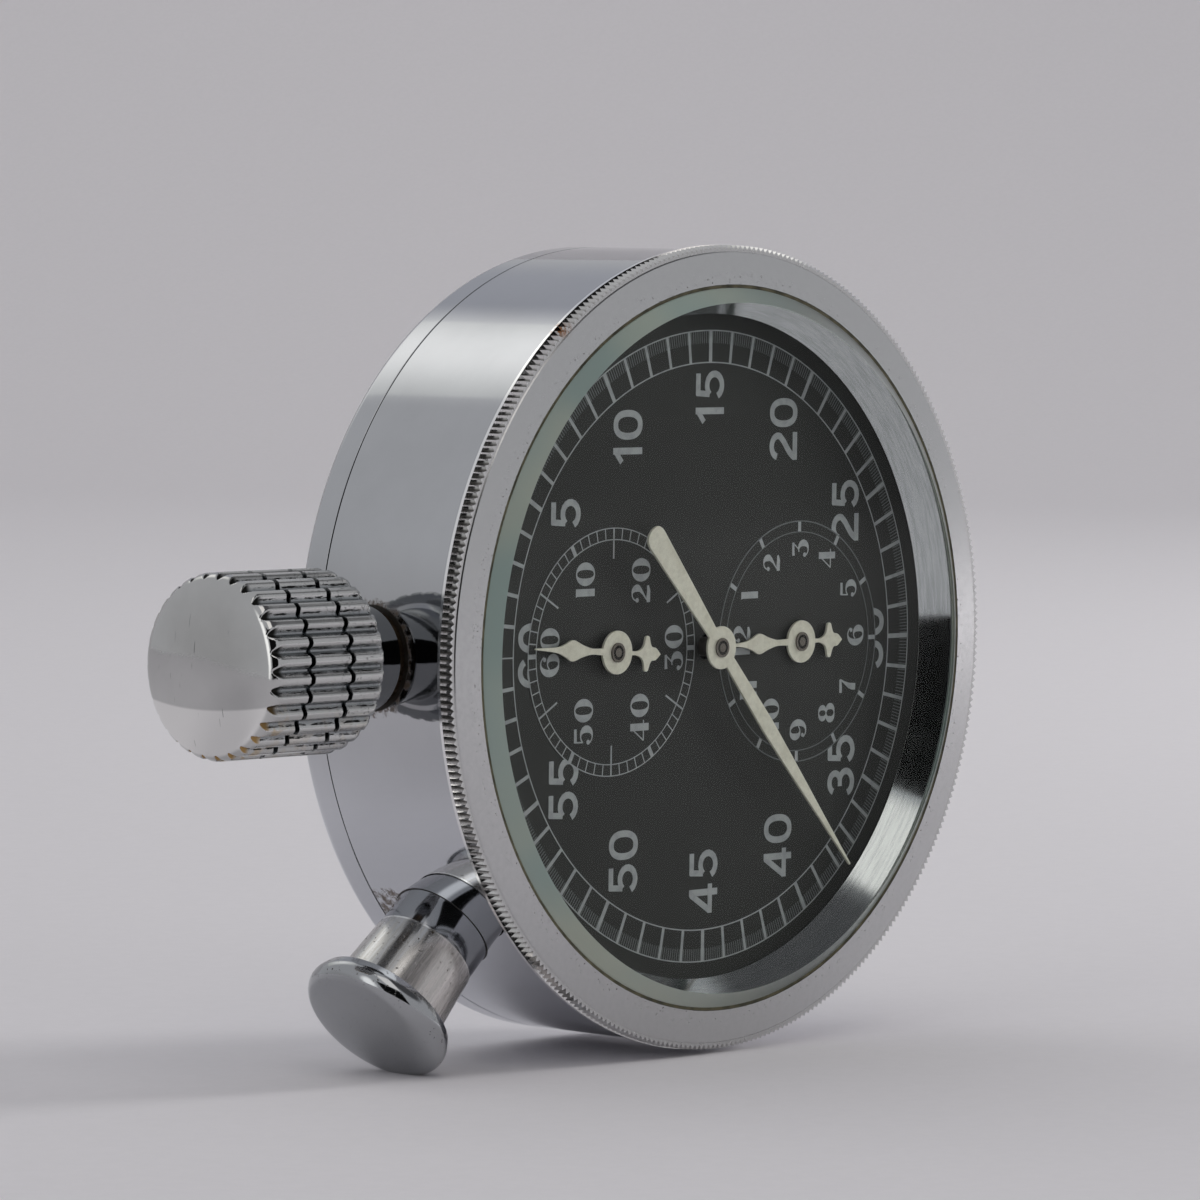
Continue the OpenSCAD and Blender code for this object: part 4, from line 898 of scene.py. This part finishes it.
# Crown: turned from brass bar, fluted, cut with two grooves and thickly
# chromed, worn on the crests, with dark dirt and painted shade in the flutes.
# Its polished neck slides over the tube's collar.
crown_flutes = 30
crown_crest = 6.45
crown_valley = 0.46
crown_start, crown_tip = 33.8, 44.25
crown_bulge, crown_end_reach = 1.0, 6.15
neck_end = 33.3
crown_rim = 1.0
crown_grooves = [crown_start + share * (crown_tip - crown_start) for share in (0.29, 0.66)]
flute_half = 0.40
flute_steps = (-0.5, -0.44, -0.38, -0.31, -0.24, -0.17, -0.10, -0.04, 0.04, 0.10, 0.17,
               0.24, 0.31, 0.38, 0.44)


def flute_radius(share):
    """Radius of the fluted part at a share of the pitch from a valley."""
    reach = min(abs(share) / flute_half, 1)
    return crown_crest - crown_valley * (0.5 + 0.5 * math.cos(math.pi * reach))


crown_line = [(0, 31.6), (3.42, 31.6), (3.42, 29.43), (3.47, 29.4), (3.68, 29.4),
              (3.75, 29.47), (3.75, 32.3), (3.80, 32.55), (3.95, 32.8), (4.25, 33.05),
              (4.65, 33.25), (5.2, 33.38), (5.8, 33.46), (6.05, 33.55), (6.25, 33.68),
              (6.38, 33.85), (crown_crest, 34.05)]
rim_at = crown_tip - 0.83
for at in crown_grooves + [rim_at]:
    before = crown_line[-1][1]
    after = at if at == rim_at else at - 0.21
    crown_line += [(crown_crest, before + (after - before) * k / 5) for k in (1, 2, 3, 4, 5)]
    if at != rim_at:
        crown_line += [(5.80, at - 0.13), (5.72, at), (5.80, at + 0.13),
                       (crown_crest, at + 0.21)]
for out, up in (on_circle(crown_rim, a) for a in range(8, 75, 6)):
    crown_line.append((crown_crest - crown_rim + out, rim_at + up))
crown_line += [(r, crown_tip + crown_bulge * (1 - (r / crown_end_reach) ** 2))
               for r in (5.4, 4.8, 4.1, 3.3, 2.4, 1.3, 0)]
points, rings, flute_depth = [], [], []
for radius, along in crown_line:
    ring = []
    for i in range(crown_flutes if radius else 1):
        for share in flute_steps if radius else (0,):
            r = min(radius, flute_radius(share)) if along > neck_end else radius
            out, up = on_circle(r, 360 * (i + share) / crown_flutes)
            ring.append(len(points))
            points.append((-along, -knob_depth + out, up))
            flute_depth.append((radius - r) / crown_valley)
    rings.append(ring)
faces = [face for a, b in zip(rings, rings[1:]) for face in between_rings(a, b)]
crown = mesh_piece("fluted_crown", points, faces)
crown.data.attributes.new("flute_depth", "FLOAT", "POINT").data.foreach_set("value", flute_depth)
true_up(crown, 38)
made, tree, shader, where = metal("crown_chrome", (0.62, 0.625, 0.635, 1), 0.12)
place = add(tree, "SeparateXYZ", Vector=where)
outer = place.outputs["X"]
deep = add(tree, "Attribute", {"attribute_name": "flute_depth"}).outputs["Fac"]
# The valleys are painted a darker blue-grey by their depth: painted shade.
valley = between(tree, deep, 0.25, 0.95)
on_ribs = times(tree, between(tree, outer, -33.8 * MM, -33.6 * MM, 1.0, 0.0),
                between(tree, outer, -43.9 * MM, -43.3 * MM))
behind = between(tree, outer, -33.75 * MM, -33.6 * MM)
low = between(tree, place.outputs["Z"], -5.0 * MM, -1.5 * MM, 1.0, 0.0)
# The notches at the outer ends of the flutes hold black dirt and painted
# shade; lower down they are worn to the brass.
notch = times(tree, between(tree, deep, 0.08, 0.25),
              between(tree, outer, -43.75 * MM, -43.2 * MM, 1.0, 0.0))
crackle = grain(tree, stretched(tree, where, (900.0, 3000.0, 3000.0)), 1.0, 6.0, 0.75)
band = times(tree, between(tree, deep, 0.35, 0.55),
             between(tree, deep, 0.70, 0.90, 1.0, 0.25), 0.30)
dirt = times(tree, between(tree, maths(tree, "ADD", band, crackle), 0.76, 0.86), on_ribs)
wavy = times(tree, maths(tree, "SUBTRACT", crackle, 0.5), 0.25 * MM)
in_groove = 0.0
for at in crown_grooves:
    offset = maths(tree, "ABSOLUTE", maths(tree, "ADD", outer, at * MM))
    near = between(tree, maths(tree, "ADD", offset, wavy), 0.17 * MM, 0.24 * MM, 1.0, 0.0)
    in_groove = maths(tree, "MAXIMUM", in_groove, near)
film = grain(tree, where, 260.0, 5.0, 0.6)
pitted = times(tree, between(tree, grain(tree, where, 5200.0, 2.0), 0.60, 0.68), on_ribs,
               between(tree, outer, -40.0 * MM, -36.0 * MM, 0.1, 0.9))
# The end is painted bright below a curved edge as a painted highlight, and has a few fine
# nicks.
sag = maths(tree, "ADD", place.outputs["Y"], knob_depth * MM)
worn = maths(tree, "SUBTRACT", place.outputs["Z"], times(tree, sag, sag, 14.0))
end_highlight = times(tree, between(tree, worn, -2.95 * MM, -2.75 * MM, 1.0, 0.0),
                 between(tree, outer, -44.3 * MM, -44.1 * MM, 1.0, 0.0))
nicks = grain(tree, stretched(tree, where, (300.0, 9000.0, 500.0), (0.95, 0.0, 0.0)), 1.0, 1.0)
nicks = times(tree, between(tree, nicks, 0.785, 0.80),
              between(tree, outer, -44.5 * MM, -44.4 * MM, 0.8, 0.0))
bare = times(tree, low, on_ribs,
             between(tree, grain(tree, where, 1100.0, 3.0), 0.50, 0.60, 0.0, 0.6),
             between(tree, outer, -42.9 * MM, -41.6 * MM, 1.0, 0.2))
notch_dirt_and_shade = blend(tree, low, (0.018, 0.018, 0.016, 1), (0.46, 0.30, 0.12, 1))
# The back of the head and its neck are painted dark as painted shade, but for a bright line.
bright_line = 33.28
ringed = maths(tree, "ABSOLUTE", maths(tree, "ADD", outer, bright_line * MM))
dull = times(tree, behind, between(tree, ringed, 0.05 * MM, 0.09 * MM), 0.8)
colour = layered(
    tree, (0.58, 0.58, 0.575, 1), (between(tree, film, 0.3, 0.8), (0.53, 0.53, 0.525, 1)),
    (end_highlight, (0.86, 0.855, 0.84, 1)), (nicks, (0.10, 0.10, 0.10, 1)),
    (valley, (0.27, 0.285, 0.295, 1)), (bare, (0.50, 0.34, 0.15, 1)),
    (times(tree, pitted, 0.7), (0.10, 0.095, 0.09, 1)), (dirt, (0.030, 0.030, 0.030, 1)),
    (in_groove, (0.055, 0.064, 0.070, 1)), (notch, notch_dirt_and_shade), (dull, (0.10, 0.108, 0.118, 1)))
rough = maths(tree, "ADD", between(tree, film, 0.3, 0.8, 0.06, 0.10),
              times(tree, maths(tree, "MAXIMUM", dirt, notch), 0.5))
feed(shader, Base_Color=colour,
     Roughness=maths(tree, "ADD", rough, times(tree, on_ribs, 0.16)))
relief = maths(tree, "SUBTRACT", film, times(tree, dirt, 0.6))
bump(tree, shader, maths(tree, "SUBTRACT", relief, times(tree, pitted, 0.5)), 0.02)
crown.data.materials.append(made)
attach(crown, "crown")
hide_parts("crown")

# Collar of the crown's tube: brass, stained dark brown by old oil and dirt.
made, tree, shader, where = metal("tube_stain", (0.07, 0.05, 0.03, 1), 0.5)
stain = grain(tree, where, 1300.0, 5.0, 0.7)
feed(shader, Roughness=between(tree, stain, 0.35, 0.65, 0.7, 0.3),
     Base_Color=blend(tree, between(tree, stain, 0.35, 0.65), (0.030, 0.021, 0.013, 1),
                      (0.12, 0.085, 0.055, 1)))
bump(tree, shader, stain, 0.05)
redress("crown_tube", made)

# Return pusher: a turned and chromed mushroom cap whose sleeve slides over a
# fixed tube.
pusher_start = (0, -knob_depth, 0)
brim_radius, brim_round, brim_level = 4.35, 1.15, 37.25
dome_top, dome_rise, dome_reach = 38.9, 0.534, 4.628
dome = [(brim_radius + out, brim_level + up) for out, up in (
    on_circle(brim_round, a) for a in range(-24, 77, 5))]
dome += [(r, dome_top - dome_rise * (r / dome_reach) ** 2)
         for r in (4.0, 3.2, 2.4, 1.6, 0.8, 0)]
cap = turned("mushroom_cap", [(3.78, 35.3), (3.78, 31.05)] + rounded([
    (4.15, 31.05), (4.15, 36.1), (4.6, 36.25), (5.25, 36.6)], 0.12)[5:] + dome
    + [(0, 35.3)], pusher_way, pusher_start, 240)
made, tree, shader, where = metal("pusher_chrome", (0.56, 0.565, 0.575, 1), 0.1)
along = facing(tree, where, pusher_way)
on_sleeve = between(tree, along, 36.1 * MM, 36.3 * MM, 1.0, 0.0)
across_x = Vector((1, 0, 0))
turned_to = add(tree, "VectorRotate", {"rotation_type": "AXIS_ANGLE"}, Vector=where,
                Axis=tuple(pusher_way.cross(across_x).normalized()),
                Angle=pusher_way.angle(across_x)).outputs["Vector"]
streaks = grain(tree, stretched(tree, turned_to, (160.0, 5200.0, 5200.0)), 1.0, 4.0)
film = grain(tree, where, 300.0, 5.0, 0.6)
flaws = times(tree, between(tree, grain(tree, where, 3600.0, 3.0, 0.6), 0.635, 0.675),
              between(tree, grain(tree, where, 420.0), 0.36, 0.50),
              between(tree, along, 37.9 * MM, 38.2 * MM, 1.0, 0.12))
# The sleeve's open end carries a painted highlight.
lip_highlight = between(tree, along, 31.14 * MM, 31.24 * MM, 1.0, 0.0)
# The chrome is rubbed dull on the side that meets the finger.
side_on = add(tree, "SeparateXYZ", Vector=where).outputs["Y"]
rubbed = times(tree, on_sleeve, between(tree, side_on, -10.9 * MM, -9.6 * MM, 1.0, 0.0),
               between(tree, streaks, 0.3, 0.6, 0.75, 0.4))
streaky = blend(tree, between(tree, streaks, 0.35, 0.65), (0.56, 0.562, 0.565, 1),
                (0.50, 0.49, 0.475, 1))
colour = layered(
    tree, (0.42, 0.43, 0.445, 1), (on_sleeve, streaky), (lip_highlight, (0.9, 0.9, 0.88, 1)),
    (flaws, (0.055, 0.045, 0.032, 1)),
    (times(tree, rubbed, maths(tree, "SUBTRACT", 1.0, flaws)), (0.76, 0.705, 0.68, 1)))
rough = maths(tree, "ADD", between(tree, film, 0.3, 0.8, 0.07, 0.12),
              times(tree, on_sleeve, between(tree, streaks, 0.35, 0.7, 0.04, 0.14)))
feed(shader, Base_Color=colour,
     Metallic=maths(tree, "SUBTRACT", 1.0, times(tree, rubbed, 0.75)),
     Roughness=maths(tree, "ADD", rough, times(tree, flaws, 0.5)))
bump(tree, shader, maths(tree, "SUBTRACT", times(tree, streaks, 0.15), flaws), 0.01)
cap.data.materials.append(made)
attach(cap, "pusher")
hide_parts("pusher_cap")
# The fixed tube's chrome is darkened: painted shade for the dark it mirrors.
redress("pusher_tube", chrome_finish("tube_chrome_painted_dark", 0.07, tint=(0.34, 0.35, 0.37, 1)))


# Movement: gilt plates and bridges, brass wheels, steel arbors, pinions,
# levers and screws, a blued balance spring and ruby bearings.
def movement_finish(name, light, dark, roughness, scale):
    """A worked metal with a fine grain of its own."""
    made, tree, shader, where = metal(name, light, roughness)
    fine_grain = grain(tree, where, scale, 4.0)
    feed(shader, Base_Color=blend(tree, between(tree, fine_grain, 0.3, 0.75), light, dark),
         Roughness=between(tree, fine_grain, 0.3, 0.75, roughness, roughness + 0.1))
    bump(tree, shader, fine_grain, 0.002)
    return made


finishes = {kind: movement_finish(*values) for kind, *values in (
    ("gilt", "frosted_gilt", (0.78, 0.60, 0.32, 1), (0.70, 0.52, 0.27, 1), 0.42, 9000.0),
    ("brass", "polished_brass", (0.80, 0.60, 0.28, 1), (0.72, 0.53, 0.24, 1), 0.22, 3000.0),
    ("steel", "polished_steel", (0.56, 0.57, 0.58, 1), (0.48, 0.49, 0.50, 1), 0.18, 3500.0),
    ("nickel", "brushed_nickel", (0.66, 0.64, 0.60, 1), (0.58, 0.56, 0.52, 1), 0.28, 2500.0),
    ("blued", "blued_steel", (0.06, 0.10, 0.30, 1), (0.04, 0.07, 0.22, 1), 0.2, 3000.0))}
finishes["jewel"], tree, shader, where = material("ruby")
feed(shader, Roughness=0.08, Coat_Weight=0.6,
     Base_Color=blend(tree, grain(tree, where, 2000.0), (0.55, 0.02, 0.06, 1),
                      (0.35, 0.01, 0.05, 1)))
# The three posts in the hands' hubs have a dark turned ring.
post_ring = 0.42
post_finish, tree, shader, where = metal("burnished_post", (0.15, 0.13, 0.115, 1), 0.4)
place = add(tree, "SeparateXYZ", Vector=where)
from_axis = maths(tree, "PINGPONG", maths(tree, "ABSOLUTE", place.outputs["X"]),
                  minutes_centre[1] / 2 * MM)
off_ring = maths(tree, "SUBTRACT", span(tree, from_axis, place.outputs["Z"]), post_ring * MM)
fine_grain = grain(tree, where, 2500.0, 4.0)
feed(shader, Roughness=between(tree, fine_grain, 0.3, 0.75, 0.4, 0.5),
     Base_Color=blend(tree, between(tree, maths(tree, "ABSOLUTE", off_ring), 0.07 * MM,
                                    0.13 * MM), (0.015, 0.014, 0.013, 1),
                      (0.15, 0.13, 0.115, 1)))
bump(tree, shader, fine_grain, 0.002)
posts = {"seconds_arbor", "minute_arbor", "hour_arbor"}
dressed = {"case_band", "rear_cover", "bezel", "crystal", "crystal_seal", "dial_surround",
           "dial", "crown", "crown_tube", "pusher_cap", "pusher_tube", "seconds_hand",
           "minute_hand", "hour_hand"}
for part in frame["record"]["subparts"]:
    name, kind = part["node"], part["material_slot"]
    if name not in dressed:
        redress(name, post_finish if name in posts else finishes.get(kind, finishes["steel"]))
